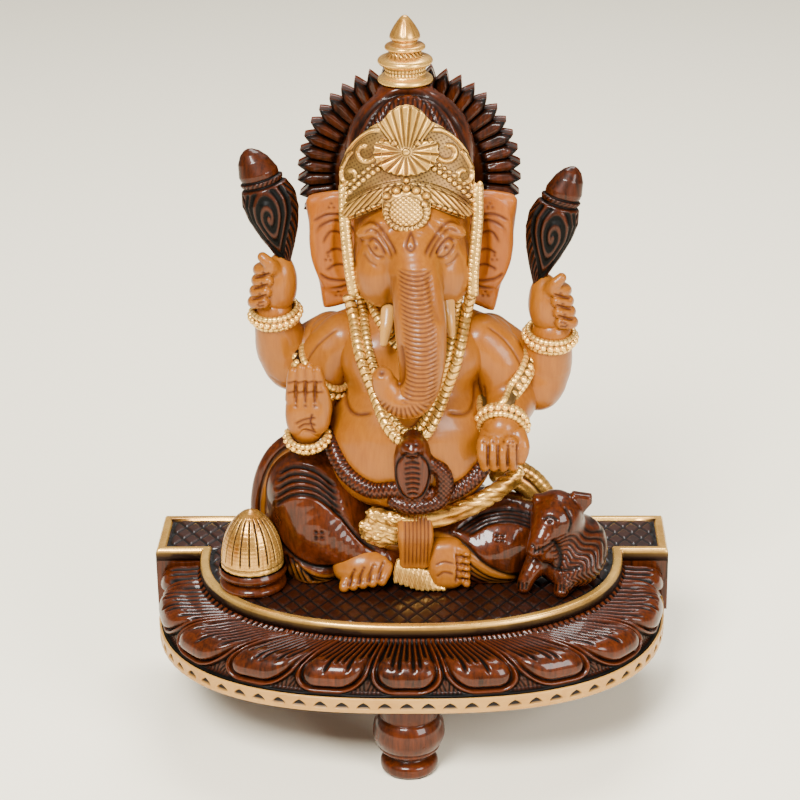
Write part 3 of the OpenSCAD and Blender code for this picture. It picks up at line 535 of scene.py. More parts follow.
def make_deck_trim():
    """Gold moulding: a rounded strip that follows the deck's edge, mitred at the corners."""
    count = 400
    profile = [(0.0, 0.0), (0.0, 1.2), (0.0, 2.6), (0.06, 3.0), (0.3, 3.35), (0.42, 3.7), (0.7, 3.93),
               (1.1, 4.0), (2.2, 4.0), (2.6, 3.93), (2.85, 3.7), (2.95, 3.3), (3.2, 3.1), (3.2, 0.0)]
    loops = []
    for inset, level in profile:
        path = deck_path(min(inset + 0.02, TRIM_W), count)
        loops.append(np.concatenate([path, np.full((len(path), 1), TRIM_LOW + level)], 1))
    whole = np.stack(loops, 1)
    rows, columns = whole.shape[:2]
    uneven = wobble(whole, 9.0) * 0.06
    whole[..., 2] += uneven * (whole[..., 2] > TRIM_LOW + 3)
    faces = grid_faces(rows, columns, wrap_rows=True, wrap_columns=True)[:, ::-1]
    # Painted shade: the outer face darkens towards its foot and the inner face darkens where it meets the
    # deck.
    dark = np.zeros((rows, columns))
    dark[:, -2:] = 0.9
    dark[:, :5] = (1.0, 1.0, 0.9, 0.6, 0.2)
    piece("gold_moulding", whole.reshape(-1, 3), faces, "gold", dark.ravel(), ["deck_trim"])


def make_deck():
    """Deck panel with a diamond hatch cut into it."""
    gap = 0.36
    tops, darks, faces, start = [], [], [], 0
    inset = TRIM_W - 0.4
    for block in (False, True):
        if block:
            y = np.arange(BLOCK_Y + inset, BACK_Y - inset, gap)
            half = np.full_like(y, HALF_W - inset)
        else:
            y = np.arange(BLOCK_Y - DECK_B + inset, BLOCK_Y + inset + gap, gap)
            share = np.clip((BLOCK_Y - y) / (DECK_B - inset), 0, 1)
            half = (DECK_A - inset) * (1 - share ** DECK_POWER) ** (1 / DECK_POWER)
        columns = int(2 * half.max() / gap)
        x = np.linspace(-1, 1, columns)[None] * half[:, None]
        yy = np.broadcast_to(y[:, None], x.shape)
        lean = math.tan(math.radians(57))
        across = math.cos(math.radians(57))
        near = np.minimum(saw(yy - lean * x, 8.6), saw(yy + lean * x, 8.6)) * across
        cut = groove(near, 0.85)
        wall = np.minimum(half[:, None] - np.abs(x), 99)
        moat = groove(wall - 1.2, 1.6)
        z = DECK - 0.5 * cut - 0.4 * moat + 0.05 * wobble(np.stack([x, yy, x * 0], -1), 7.0)
        z[0], z[-1] = DECK - 1.2, DECK - 1.2
        z[:, 0], z[:, -1] = DECK - 1.2, DECK - 1.2
        tops.append(np.stack([x, yy, z], -1).reshape(-1, 3))
        # Painted shade in the hatch cuts and in the sunk strip along the trim.
        darks.append(np.clip(cut + moat, 0, 1).ravel())
        faces.append(grid_faces(len(y), columns)[:, ::-1] + start)
        start += len(y) * columns
    piece("hatched_deck", np.concatenate(tops), np.concatenate(faces), "deck", np.concatenate(darks),
          ["deck_panel"], solid=False)


def spin(name, profile, centre, paint, nodes, relief=None, around=128, along=90):
    """Turned piece: a profile of (radius, height) spun about a vertical axis, with optional relief."""
    line = through(profile, along)
    angle = np.arange(around) / around * 2 * math.pi
    r = np.maximum(line[:, 0], 0.001)[:, None] * np.ones(around)
    z = line[:, 1][:, None] * np.ones(around)
    dark = np.zeros_like(r)
    if relief:
        push, dark = relief(angle[None] + 0 * r, z, r)
        r = np.maximum(r + push, 0.001)
    z = np.clip(z, 0, profile[-1][1])
    points = np.stack([centre[0] + r * np.sin(angle), centre[1] - r * np.cos(angle), centre[2] + z], -1)
    faces = grid_faces(along, around, wrap_columns=True)[:, ::-1]
    return piece(name, points.reshape(-1, 3), faces, paint, dark.ravel(), nodes)


FOOT_PROFILE = [(0, 0), (7.4, 0), (7.4, 0), (8.7, 1.0), (9.0, 2.6), (8.5, 4.2), (7.0, 5.3), (6.6, 6.0),
                (7.4, 6.9),
                (8.6, 7.5), (9.6, 8.4), (9.7, 9.0), (9.5, 9.2), (10.3, 10.2), (11.1, 12.4), (11.2, 14.2),
                (10.8, 16.8), (9.8, 18.8), (9.0, 19.6), (9.0, 19.6), (9.3, 20.6), (9.4, 24), (9.4, 28.9),
                (9.4, 28.9), (0, 28.9)]


def make_feet():
    for node in ("front_foot", "rear_foot_right", "rear_foot_left"):
        at = middle(node)
        spin("turned_" + node, FOOT_PROFILE, (at[0], at[1], 0.0), "dark", [node], around=96, along=150)


def finial_relief(angle, z, r):
    beads = step(z, 2.3, 2.9) * (1 - step(z, 4.9, 5.3))
    bumps = np.abs(np.sin(angle * 17)) * np.abs(np.sin((z - 2.4) * math.pi / 1.35))
    slant = groove(saw(angle * 5.3 + 1.2 * (z - 8.9), 1.5), 0.5) * step(z, 8.1,
                                                                        8.6) * (1 - step(z, 10.1, 10.4))
    cone = groove(saw(angle * 4.4, 3.4), 0.5) * step(z, 14.4, 15.4) * (1 - step(z, 18.6, 19.8)) * 0.6
    push = beads * (0.45 * bumps - 0.25) - 0.4 * slant - 0.14 * cone
    # Painted shade between the beads and in the slanted cuts and flutes.
    return push, np.clip(beads * (0.75 - bumps) + 0.95 * slant + 0.7 * cone, 0, 1)


FINIAL_PROFILE = [(0, 0), (7.4, 0), (7.4, 0), (8.3, 0.4), (8.4, 1.1), (7.8, 1.9), (6.3, 2.2), (6.2, 3.6),
                  (6.3, 5.1),
                  (7.6, 5.6), (8.3, 6.2), (8.4, 6.9), (7.9, 7.6), (6.6, 8.2), (5.3, 8.8), (5.1, 9.6),
                  (5.4, 10.2),
                  (6.1, 10.5), (6.2, 11.1), (5.7, 11.7), (4.4, 12.1), (3.9, 12.5), (4.0, 13.1), (4.5, 13.5),
                  (4.7, 14.2), (4.4, 15.3), (3.5, 17.0), (2.3, 18.8), (1.2, 20.1), (0.6, 20.5), (0, 20.58)]


SWEET_RADIUS, SWEET_HEIGHT = 10.0, 19.0


def dome_relief(angle, z, r):
    rise = z / SWEET_HEIGHT
    slits = groove(saw(angle, math.pi / 10) * r, 0.42) * step(rise, 0.14, 0.2) * (1 - step(rise, 0.8, 0.92))
    facet = np.abs(np.cos(angle * 10)) ** 0.5
    rings = groove(saw(z, 1.3), 0.3)
    rim = groove(z - 1.6, 0.5)
    push = 0.16 * facet * (1 - rise) - 0.7 * slits - 0.07 * rings - 0.3 * rim - 0.25
    # Painted shade in the slits, the rings and the groove at the rim.
    return push, np.clip(3.0 * slits + 0.25 * rings + 0.6 * rim, 0, 1)


def make_offering():
    bowl = middle("offering_bowl")
    bowl_profile = [(0, 0), (9.4, 0), (9.4, 0), (10.4, 0.7), (10.5, 1.9), (9.6, 2.9), (8.6, 3.3), (8.4, 3.7),
                    (9.3, 4.1), (10.5, 4.9), (10.7, 6.0), (10.2, 7.0), (9.8, 7.55), (9.8, 7.55), (0, 7.55)]
    spin("sweet_bowl", bowl_profile, (bowl[0], bowl[1], DECK), "dark", ["offering_bowl"], along=110)
    base = corner("sweet_dome", 0)[2]
    t = np.linspace(0, 1, 24)
    curve = [(SWEET_RADIUS * (1 - k ** 2.35) ** 0.62, SWEET_HEIGHT * k) for k in t]
    spin("sweet_ribbed", [(0, 0), (9.9, 0), (9.9, 0)] + curve, (bowl[0], bowl[1], base), "gold",
         ["sweet_dome"], dome_relief, around=320, along=130)


def make_finial():
    at = middle("finial")
    base = corner("finial", 0)[2]
    spin("gold_finial", FINIAL_PROFILE, (at[0], at[1], base), "gold", ["finial"], finial_relief, around=220,
         along=220)


# ---------------------------------------------------------------- carving tools

LOOK = 0.4


def rotation(turn):
    a, b, c = (math.radians(t) for t in turn)
    rx = np.array([[1, 0, 0], [0, math.cos(a), -math.sin(a)], [0, math.sin(a), math.cos(a)]])
    ry = np.array([[math.cos(b), 0, math.sin(b)], [0, 1, 0], [-math.sin(b), 0, math.cos(b)]])
    rz = np.array([[math.cos(c), -math.sin(c), 0], [math.sin(c), math.cos(c), 0], [0, 0, 1]])
    return rz @ ry @ rx


def soft_min(a, b, k):
    if k <= 0:
        return np.minimum(a, b)
    h = np.maximum(k - np.abs(a - b), 0) / k
    return np.minimum(a, b) - h * h * (k * 0.25)


class Clay:
    """Signed distances of one carved mass on a grid. Heights are measured from the deck."""

    def __init__(self, low, high, gap=None):
        self.gap = gap or FINE
        self.low = np.array(low, float)
        self.size = np.ceil((np.array(high, float) - self.low) / self.gap).astype(int) + 1
        self.d = np.full(self.size, 6.0, np.float32)

    def window(self, low, high):
        a = np.clip(np.floor((low - self.low) / self.gap).astype(int), 0, self.size)
        b = np.clip(np.ceil((high - self.low) / self.gap).astype(int) + 1, 0, self.size)
        axes = [(self.low[k] + self.gap * np.arange(a[k], b[k])).astype(np.float32) for k in range(3)]
        part = tuple(slice(i, j) for i, j in zip(a, b))
        return part, axes[0][:, None, None], axes[1][None, :, None], axes[2][None, None, :]

    def merge(self, part, d, k, cut=False):
        if cut:
            self.d[part] = -soft_min(-self.d[part], d, k)
        else:
            self.d[part] = soft_min(self.d[part], d, k)
        return self

    def blob(self, centre, radii, k=2.0, turn=(0, 0, 0), cut=False):
        """Ellipsoid."""
        centre, radii = np.array(centre, float), np.array(radii, float)
        reach = np.full(3, radii.max()) if any(turn) else radii
        part, x, y, z = self.window(centre - reach - k - 2, centre + reach + k + 2)
        p = [x - centre[0], y - centre[1], z - centre[2]]
        if any(turn):
            m = rotation(turn)
            p = [m[0, i] * p[0] + m[1, i] * p[1] + m[2, i] * p[2] for i in range(3)]
        inner = np.sqrt(sum((q / r) ** 2 for q, r in zip(p, radii)) + 1e-8)
        outer = np.sqrt(sum((q / r ** 2) ** 2 for q, r in zip(p, radii)) + 1e-12)
        return self.merge(part, inner * (inner - 1) / outer, k, cut)

    def limb(self, points, radii, k=2.0, steps=None, cut=False, squash=(1, 1, 1)):
        """Tapering round mass along a smooth path. Squash above 1 thins it along an axis."""
        path = np.column_stack([np.array(points, float), np.array(radii, float)])
        if len(path) > 2 or steps:
            path = through(path, steps or 5 * len(path) - 3)
        squash = np.array(squash, float)
        pad = path[:, 3].max() + k + 2
        whole, _, _, _ = self.window(path[:, :3].min(0) - pad, path[:, :3].max(0) + pad)
        mass = np.full(self.d[whole].shape, 9.0, np.float32)
        for a, b in zip(path[:-1], path[1:]):
            r = max(a[3], b[3]) + k + 2
            part, x, y, z = self.window(np.minimum(a, b)[:3] - r, np.maximum(a, b)[:3] + r)
            local = tuple(slice(s.start - w.start, s.stop - w.start) for s, w in zip(part, whole))
            p = [(q - c) * s for q, c, s in zip((x, y, z), a[:3], squash)]
            line = (b - a)[:3] * squash
            t = np.clip(sum(q * c for q, c in zip(p, line)) / max(float(line @ line), 1e-9), 0, 1)
            d = np.sqrt(sum((q - t * c) ** 2 for q, c in zip(p, line))) - (a[3] + t * (b[3] - a[3]))
            mass[local] = np.minimum(mass[local], d)
        return self.merge(whole, mass, k, cut)

    def slab(self, outline, front, back, k=1.0, rounding=1.2):
        """Plate with an outline in x and z, between two depths."""
        outline = np.array(outline, float)
        low = np.array([outline[:, 0].min(), front, outline[:, 1].min()]) - k - 2
        high = np.array([outline[:, 0].max(), back, outline[:, 1].max()]) + k + 2
        part, x, y, z = self.window(low, high)
        flat = outline_distance(np.broadcast_to(x, (x.shape[0], 1, z.shape[2])).ravel(),
                                np.broadcast_to(z, (x.shape[0], 1, z.shape[2])).ravel(), outline)
        flat = flat.reshape(x.shape[0], 1, z.shape[2]).astype(np.float32) + rounding
        deep = np.abs(y - (front + back) / 2) - (back - front) / 2 + rounding
        d = np.minimum(np.maximum(flat, deep), 0) + np.hypot(np.maximum(flat, 0),
                                                             np.maximum(deep, 0)) - rounding
        return self.merge(part, d, k)

    def trim(self, plane_point, outward):
        """Cuts away everything beyond a plane."""
        _, x, y, z = self.window(self.low - 1, self.low + self.gap * self.size)
        n = np.array(outward, float) / np.linalg.norm(outward)
        beyond = (x - plane_point[0]) * n[0] + (y - plane_point[1]) * n[1] + (z - plane_point[2]) * n[2]
        self.d = np.maximum(self.d, beyond).astype(np.float32)
        return self

    def front(self, x, z, lift=0.0):
        """Point on the front surface at x and z, raised by lift."""
        i = np.clip(((x - self.low[0]) / self.gap).round().astype(int), 0, self.size[0] - 1)
        k = np.clip(((z - self.low[2]) / self.gap).round().astype(int), 0, self.size[2] - 1)
        column = self.d[i, :, k]
        j = np.argmax(column < 0, axis=1)
        j = np.where((column < 0).any(1), j, self.size[1] // 2)
        return np.stack([x, self.low[1] + self.gap * j - lift, z], 1)

    def skin(self):
        """Mesh of the surface, one point in each grid cell that it crosses."""
        d = self.d.copy()
        for axis in range(3):
            d = np.moveaxis(d, axis, 0)
            d[0], d[-1] = np.maximum(d[0], 0.05), np.maximum(d[-1], 0.05)
            d = np.moveaxis(d, 0, axis)
        inside = d < 0
        corners = np.array([[i, j, k] for i in (0, 1) for j in (0, 1) for k in (0, 1)])
        nx, ny, nz = (s - 1 for s in d.shape)
        count = sum(inside[i:nx + i, j:ny + j, k:nz + k].astype(np.uint8) for i, j, k in corners)
        mixed = (count > 0) & (count < 8)
        cells = np.argwhere(mixed)
        index = np.full(mixed.shape, -1, np.int64)
        index[mixed] = np.arange(len(cells))
        values = np.stack([d[tuple((cells + c).T)] for c in corners], 1)
        total, number = np.zeros((len(cells), 3)), np.zeros((len(cells), 1))
        for a in range(8):
            for b in range(a + 1, 8):
                if np.abs(corners[a] - corners[b]).sum() != 1:
                    continue
                crossed = (values[:, a] < 0) != (values[:, b] < 0)
                t = values[:, a] / np.where(crossed, values[:, a] - values[:, b], 1)
                total += np.where(crossed[:, None], corners[a] + t[:, None] * (corners[b] - corners[a]), 0)
                number += crossed[:, None]
        points = self.low + self.gap * (cells + total / np.maximum(number, 1))
        faces = []
        for axis in range(3):
            one, two = (axis + 1) % 3, (axis + 2) % 3
            a = np.moveaxis(inside, axis, 0)[:-1]
            b = np.moveaxis(inside, axis, 0)[1:]
            at = np.argwhere(a != b)
            out = np.moveaxis(inside, axis, 0)[tuple(at.T)]
            order = [axis] + [k for k in range(3) if k != axis]
            where = np.zeros_like(at)
            for column, k in enumerate(order):
                where[:, k] = at[:, column]
            keep = np.ones(len(where), bool)
            for k in (one, two):
                keep &= (where[:, k] > 0) & (where[:, k] < d.shape[k] - 1)
            where, out = where[keep], out[keep]
            quad = []
            for s1, s2 in ((1, 1), (0, 1), (0, 0), (1, 0)):
                cell = where.copy()
                cell[:, one] -= s1
                cell[:, two] -= s2
                quad.append(index[tuple(cell.T)])
            quad = np.stack(quad, 1)
            quad[~out] = quad[~out][:, ::-1]
            faces.append(quad)
        return points, np.concatenate(faces)


def outline_distance(x, z, outline):
    """Signed distance to a closed outline, negative inside."""
    best = np.full(x.shape, 1e9)
    inside = np.zeros(x.shape, bool)
    for (ax, az), (bx, bz) in zip(outline, np.roll(outline, -1, axis=0)):
        ex, ez = bx - ax, bz - az
        t = np.clip(((x - ax) * ex + (z - az) * ez) / max(ex * ex + ez * ez, 1e-12), 0, 1)
        best = np.minimum(best, (x - ax - t * ex) ** 2 + (z - az - t * ez) ** 2)
        if az != bz:
            crosses = ((az > z) != (bz > z)) & (x < ex * (z - az) / ez + ax)
            inside ^= crosses
    return np.where(inside, -1, 1) * np.sqrt(best)


def line_distance(q, line):
    """Distance from each point of q to a line through points, and how far along it (0 to 1)."""
    best = np.full(len(q), 1e9)
    share = np.zeros(len(q))
    count = len(line) - 1
    for i in range(count):
        a, e = line[i], line[i + 1] - line[i]
        t = np.clip(((q - a) @ e) / max(float(e @ e), 1e-12), 0, 1)
        d = ((q - a - t[:, None] * e) ** 2).sum(1)
        closer = d < best
        best = np.where(closer, d, best)
        share = np.where(closer, (i + t) / count, share)
    return np.sqrt(best), share


class Skin:
    """A carved surface while cuts are made in it."""

    def __init__(self, clay):
        self.p, self.f = clay.skin()
        self.n = point_normals(self.p, self.f)
        self.push = np.zeros(len(self.p))
        self.dark = np.zeros(len(self.p))
        self.gilt = np.zeros(len(self.p))

    def flat(self, ref, slant):
        """x and z of every point, looked at from the front and a little above, at depth ref."""
        return np.stack([self.p[:, 0], self.p[:, 2] + (self.p[:, 1] - ref) * slant], 1)

    def facing(self, side):
        out = np.clip((self.n @ np.array(side, float)) * 2.5, 0, 1)
        return out

    def score(self, line, width=0.9, depth=0.4, ref=0.0, slant=LOOK, taper=0.12, dark=1.0,
              side=(0, -0.92, 0.38), smooth=True, limit=None):
        """Cuts a line drawn as (x, z) as seen from the front, darkened with painted shade. A negative depth
        raises a ridge.
        """
        line = np.array(line, float)
        if smooth and len(line) > 2:
            line = through(line, max(10, 4 * len(line)))
        q = self.flat(ref, slant)
        near = ((q > line.min(0) - 2 * width) & (q < line.max(0) + 2 * width)).all(1)
        near &= self.facing(side) > 0
        if limit is not None:
            near &= limit
        if not near.any():
            return self
        d, share = line_distance(q[near], line)
        g = groove(d, width) * self.facing(side)[near]
        if taper:
            g = g * step(share, -0.001, taper) * (1 - step(share, 1 - taper, 1.001))
        self.push[near] -= depth * g
        if depth > 0:
            self.dark[near] = np.maximum(self.dark[near], dark * g)
        return self

    def score3(self, line, width=0.9, depth=0.4, taper=0.1, dark=1.0, closed=False):
        """Cuts along a line in space, darkened with painted shade."""
        line = through(line, max(16, 4 * len(line)), closed)
        if closed:
            line = np.concatenate([line, line[:1]])
        near = ((self.p > line.min(0) - 2 * width) & (self.p < line.max(0) + 2 * width)).all(1)
        if not near.any():
            return self
        d, share = line_distance(self.p[near], line)
        g = groove(d, width)
        if taper and not closed:
            g = g * step(share, -0.001, taper) * (1 - step(share, 1 - taper, 1.001))
        self.push[near] -= depth * g
        if depth > 0:
            self.dark[near] = np.maximum(self.dark[near], dark * g)
        return self

    def dots(self, places, size=0.9, depth=0.45, ref=0.0, slant=LOOK, dark=1.0):
        # Round pits, darkened with painted shade.
        q = self.flat(ref, slant)
        face = self.facing((0, -0.92, 0.38))
        for place in places:
            g = groove(np.hypot(q[:, 0] - place[0], q[:, 1] - place[1]), size) * face
            self.push -= depth * g
            self.dark = np.maximum(self.dark, dark * g)
        return self

    def press(self, amount, dark=None):
        """Adds a worked-out relief over the whole surface; a given dark adds painted shade."""
        self.push += amount
        if dark is not None:
            self.dark = np.maximum(self.dark, dark)
        return self

    def gild_and_highlight(self, amount):
        self.gilt = np.maximum(self.gilt, amount)
        return self

    def make(self, name, paint, nodes, cavity=1.0, chisel=0.05, faces=None):
        """Makes the piece. Some of the faces may be given, for a surface that is parted."""
        p = self.p + self.n * (self.push + chisel * wobble(self.p, 2.6))[:, None]
        p[:, 2] += DECK
        return piece(name, p, self.f, paint, self.dark, nodes, cavity, gilt=self.gilt, shown=faces)


def merged(parts):
    """Several point-and-quad sets as one."""
    points, faces, darks, start = [], [], [], 0
    for p, f, d in parts:
        points.append(p)
        faces.append(f + start)
        darks.append(d)
        start += len(p)
    return np.concatenate(points), np.concatenate(faces), np.concatenate(darks)


BALL_ROWS, BALL_COLUMNS = 7, 10


def ball(centre, radius, squash=(1, 1, 1)):
    """Small bead as a closed grid."""
    a = np.linspace(0, math.pi, BALL_ROWS)[:, None]
    b = np.arange(BALL_COLUMNS)[None] / BALL_COLUMNS * 2 * math.pi
    unit = np.stack([np.sin(a) * np.cos(b), np.sin(a) * np.sin(b), np.cos(a) + 0 * b], -1)
    points = np.array(centre) + unit.reshape(-1, 3) * radius * np.array(squash)
    faces = grid_faces(BALL_ROWS, BALL_COLUMNS, wrap_columns=True)
    return points, faces, np.zeros(len(points))


def tube(path, radius, sides=14, relief=None, up=(0, -1, 0), flat=1.0, closed=False):
    """Swept strand along a path; relief gets (length along, angle) and returns push and darkness."""
    path = np.asarray(path, float)
    n = len(path)
    if closed:
        tangent = np.roll(path, -1, 0) - np.roll(path, 1, 0)
        seg = np.linalg.norm(np.roll(path, -1, 0) - path, axis=1)
        length = np.concatenate([[0], np.cumsum(seg)[:-1]])
    else:
        tangent = np.gradient(path, axis=0)
        length = np.concatenate([[0], np.cumsum(np.linalg.norm(np.diff(path, axis=0), axis=1))])
    tangent /= np.maximum(np.linalg.norm(tangent, axis=1, keepdims=True), 1e-9)
    up = np.broadcast_to(np.asarray(up, float), path.shape)
    lift = up - (up * tangent).sum(1, keepdims=True) * tangent
    lift /= np.maximum(np.linalg.norm(lift, axis=1, keepdims=True), 1e-9)
    side = np.cross(tangent, lift)
    angle = np.arange(sides) / sides * 2 * math.pi
    s = length[:, None] + 0 * angle
    a = angle[None] + 0 * s
    radius = np.broadcast_to(np.asarray(radius, float), (n,))[:, None] + 0 * a
    push, dark = relief(s, a) if relief else (0 * a, 0 * a)
    r = radius + push
    lifted = lift[:, None] * (np.cos(a) * r * flat)[..., None]
    sideways = side[:, None] * (np.sin(a) * r)[..., None]
    points = path[:, None] + (lifted + sideways)
    faces = grid_faces(n, sides, wrap_rows=closed, wrap_columns=True)[:, ::-1]
    if not closed:
        ends = np.stack([path[0], path[-1]])
        points = np.concatenate([np.broadcast_to(ends[0], (1, sides, 3)), points,
                                 np.broadcast_to(ends[1], (1, sides, 3))])
        dark = np.pad(dark, ((1, 1), (0, 0)))
        faces = grid_faces(n + 2, sides, wrap_columns=True)[:, ::-1]
    return points.reshape(-1, 3), faces, dark.ravel()


def raised(points):
    out = np.array(points, float)
    out[:, 2] += DECK
    return out


def strand_piece(name, parts, paint, nodes, cavity=1.0):
    points, faces, dark = merged(parts)
    return piece(name, raised(points), faces, paint, dark, nodes, cavity)


# ---------------------------------------------------------------- figure: head


def trunk_clay(clay):
    clay.limb([(2.6, -1.5, 111), (3.6, -7, 103), (4.6, -11.5, 93), (5, -14.5, 83), (4.4, -16, 74.5),
               (1.6, -16.6, 69.4), (-3, -16.6, 70), (-6, -16.4, 74.4), (-6.6, -17, 77)],
              (6.4, 7.4, 7.8, 7.2, 6.3, 5.6, 4.8, 3.9, 3.3), k=4.0, steps=40)


def head_clay():
    c = Clay((-22, -22, 64), (26, 38, 138), gap=FINE * 0.9)
    c.blob((1.8, 18, 114), (17.8, 17, 22))
    c.blob((1.8, 9.5, 112.5), (15.0, 10.6, 10.6), k=6)
    c.blob((1.8, 16, 98), (14, 12, 9), k=5)
    for side, x in ((-1, -6.8), (1, 10.6)):
        c.blob((x, 8.2, 102.6), (9.8, 12, 12.0), k=4)
        c.blob((x - 0.4 * side, 1.6, 112.4), (5.6, 4.2, 4.2), k=3, turn=(0, 24 * side, 0))
        c.blob((x + 2.6 * side, 2.0, 118.0), (5.8, 3.6, 2.2), k=2.5, turn=(0, 28 * side, 0))
    c.blob((1.9, 0.2, 107.5), (5.8, 5.6, 8), k=5)
    trunk_clay(c)
    return c


TRUNK_TOP = 104.6
TRUNK_SEAM_Y = -2.0


def make_head():
    """Head and trunk are carved as one surface and then parted along the trunk's root."""
    s = Skin(head_clay())
    face_marks(s)
    x, y, z = s.p.T
    half = np.interp(z, [70, 84, 90, 97, 104, 109], [14.0, 11.0, 9.2, 7.8, 6.4, 5.4])
    seam_x = np.interp(z, [90, 109], [3.2, 2.2])
    in_trunk = (z < TRUNK_TOP) & (y < TRUNK_SEAM_Y) & (np.abs(x - seam_x) < half)
    share = in_trunk[s.f].all(1)
    s.make("elephant_head", "tan", ["head"], faces=s.f[~share])
    s.make("curled_trunk", "tan", ["trunk"], faces=s.f[share])


TRUNK_LINE = [(2.9, -7, 112), (3.4, -12, 105), (4.4, -17, 94), (5.0, -20.5, 83), (4.6, -22, 74),
              (3.6, -22.4, 66.6)]


def face_marks(s):
    """Eyes, brows, trunk rings and creases, the same on the head and on the trunk."""
    for side in (-1, 1):
        mid = 1.9
        def at(x, z):
            return (mid + side * x, z)
        # Double brow, lids and eye, slanting down to the trunk.
        s.score([at(15.4, 118.6), at(12.4, 120.6), at(9.0, 118.2), at(5.8, 112.6), at(4.2, 108.6)], 1.2,
                0.55, dark=0.9)
        s.score([at(14.8, 116.2), at(12.0, 117.8), at(9.2, 115.8), at(6.8, 111.2), at(5.6, 107.8)], 1.0,
                0.5, dark=0.8)
        s.score([at(13.4, 113.6), at(11.2, 114.8), at(9.2, 112.8), at(7.6, 109.2)], 1.0, 0.6, dark=1.0)
        s.score([at(13.4, 113.6), at(12.2, 111.0), at(10.0, 108.8), at(7.6, 109.2)], 0.9, 0.55, dark=0.8)
        s.dots([at(10.6, 111.8)], 1.5, 0.35)
        s.score([at(14.4, 110.4), at(12.6, 107.6), at(10.0, 106.0)], 0.9, 0.3, dark=0.6)
        s.score([at(17.0, 114.6), at(17.6, 110.0), at(16.8, 105.6)], 1.0, 0.3, dark=0.4)
        # Crease between the cheek and the trunk.
        s.score([at(5.2, 106), at(6.2, 101), at(7.4, 95), at(8.4, 89)], 2.4, 0.5, dark=0.35, ref=-6)
    # Plain teardrop mark on the forehead.
    drop = [(1.9, 116.8), (0.7, 113.4), (0.6, 111.8), (1.9, 110.6), (3.2, 111.8), (3.1, 113.4), (1.9, 116.8)]
    s.score(drop, 0.9, 0.35, taper=0)
    s.dots([(1.9, 112.1)], 1.0, 0.25)
    # Rings across the front of the trunk, darkened with painted shade.
    line = through(np.array(TRUNK_LINE), 60)
    near = (s.p[:, 2] < 110) & (s.p[:, 1] < 4)
    q = s.p[near]
    seg = np.linalg.norm(np.diff(line, axis=0), axis=1)
    length = np.concatenate([[0], np.cumsum(seg)])
    along = np.interp(-q[:, 2], -line[:, 2], length)
    centre = np.interp(-q[:, 2], -line[:, 2], line[:, 0])
    across = q[:, 0] - centre
    bow = along + 0.04 * across ** 2
    straight = step(q[:, 2], 68.5, 72.5)
    mask = (1 - step(np.abs(across), 4.2, 5.6)) * step(along, 3.4, 4.6) * straight
    g = groove(saw(bow, 1.42), 0.72) * mask * s.facing((0, -0.95, 0.1))[near]
    # Rings fan round the curl.
    cx, cz = -1.4, 76.4
    angle = np.arctan2(q[:, 2] - cz, q[:, 0] - cx)
    radius = np.hypot(q[:, 0] - cx, q[:, 2] - cz)
    fan = groove(saw(angle, 0.155) * radius, 0.72) * (1 - step(q[:, 2], 68.5, 72.5))
    fan *= step(radius, 6.6, 8.0) * (1 - step(radius, 11.0, 12.4)) * s.facing((0, -0.95, 0.1))[near]
    g = np.maximum(g, fan)
    s.push[near] -= 0.42 * g
    s.dark[near] = np.maximum(s.dark[near], 0.95 * g)
    # Nostril at the tip, and the crease inside the curl.
    s.dots([(-6.9, 79.0)], 2.2, 0.7, ref=-18)
    s.score([(-2.4, 73.8), (-0.8, 76.5), (-0.6, 82), (-1.2, 88)], 1.6, 0.7, ref=-17, dark=0.8)


def make_tusks():
    c = Clay((-12, -14, 78), (20, 4, 102))
    roots = ((-1, -5.4, 91.5), (1, 12.6, 94.5))
    for side, x, z in roots:
        c.limb([(x, 0.6, z), (x + 0.5 * side, -2.6, z - 4), (x + 1.2 * side, -4.6, z - 8.4)],
               (2.2, 1.9, 1.2), k=0.5)
    s = Skin(c)
    s.make("short_tusks", "tusk", ["tusks"])


def make_ear(side, node, outline):
    """Ear plate with nested arcs and three-dot marks, cut from a closed outline."""
    outline = through(np.array(outline, float), 60, closed=True)
    low, high = outline.min(0) - 3, outline.max(0) + 3
    c = Clay((low[0], 16, low[1]), (high[0], 28, high[1]))
    c.slab(outline, 19.6, 24.4, k=0.5, rounding=1.9)
    middle_x, middle_z = outline.mean(0)
    c.blob((middle_x + side * 1.0, 19.6, middle_z + 2), (8, 1.9, 15), k=2.5)
    c.blob((middle_x - side * 2.5, 18.2, middle_z + 1), (3.6, 1.6, 11), k=2.0, cut=True)
    s = Skin(c)
    ref = 19.5

    def at(x, z):
        return (middle_x + side * x, middle_z + z)
    s.score([at(8, 8.5), at(3.5, 10.8), at(-1.5, 10.8), at(-6.5, 9.2)], 1.0, 0.4, ref)
    s.score([at(7.6, 4.0), at(5.0, 7.4), at(0.6, 9.0), at(-3.6, 7.4), at(-6.4, 2.6), at(-7.4, -4.0),
             at(-6.0, -9.6), at(-1.0, -12.8), at(5, -13.4)], 1.05, 0.5, ref)
    s.score([at(5.0, 1.0), at(2.4, 5.2), at(-1.2, 4.8), at(-3.8, 1.0), at(-4.4, -4.0)], 0.9, 0.35, ref)
    s.score([at(-2.6, -1.4), at(0.6, -0.2), at(4.0, -2.0)], 0.9, 0.4, ref)
    s.score([at(-4.0, -6.6), at(0.0, -5.2), at(4.2, -7.4)], 0.9, 0.35, ref)
    s.score([at(6.5, -8.0), at(3.0, -10.2), at(-2.6, -10.4), at(-5.4, -8.0)], 1.0, 0.45, ref)
    for x, z in ((1.0, 13.2), (2.4, -3.8), (-0.4, -15.6)):
        s.dots([at(x, z), at(x + 1.5, z), at(x + 0.75, z + 1.3)], 0.8, 0.4, ref)
    s.make(("right" if side < 0 else "left") + "_carved_ear", "ear", [node])


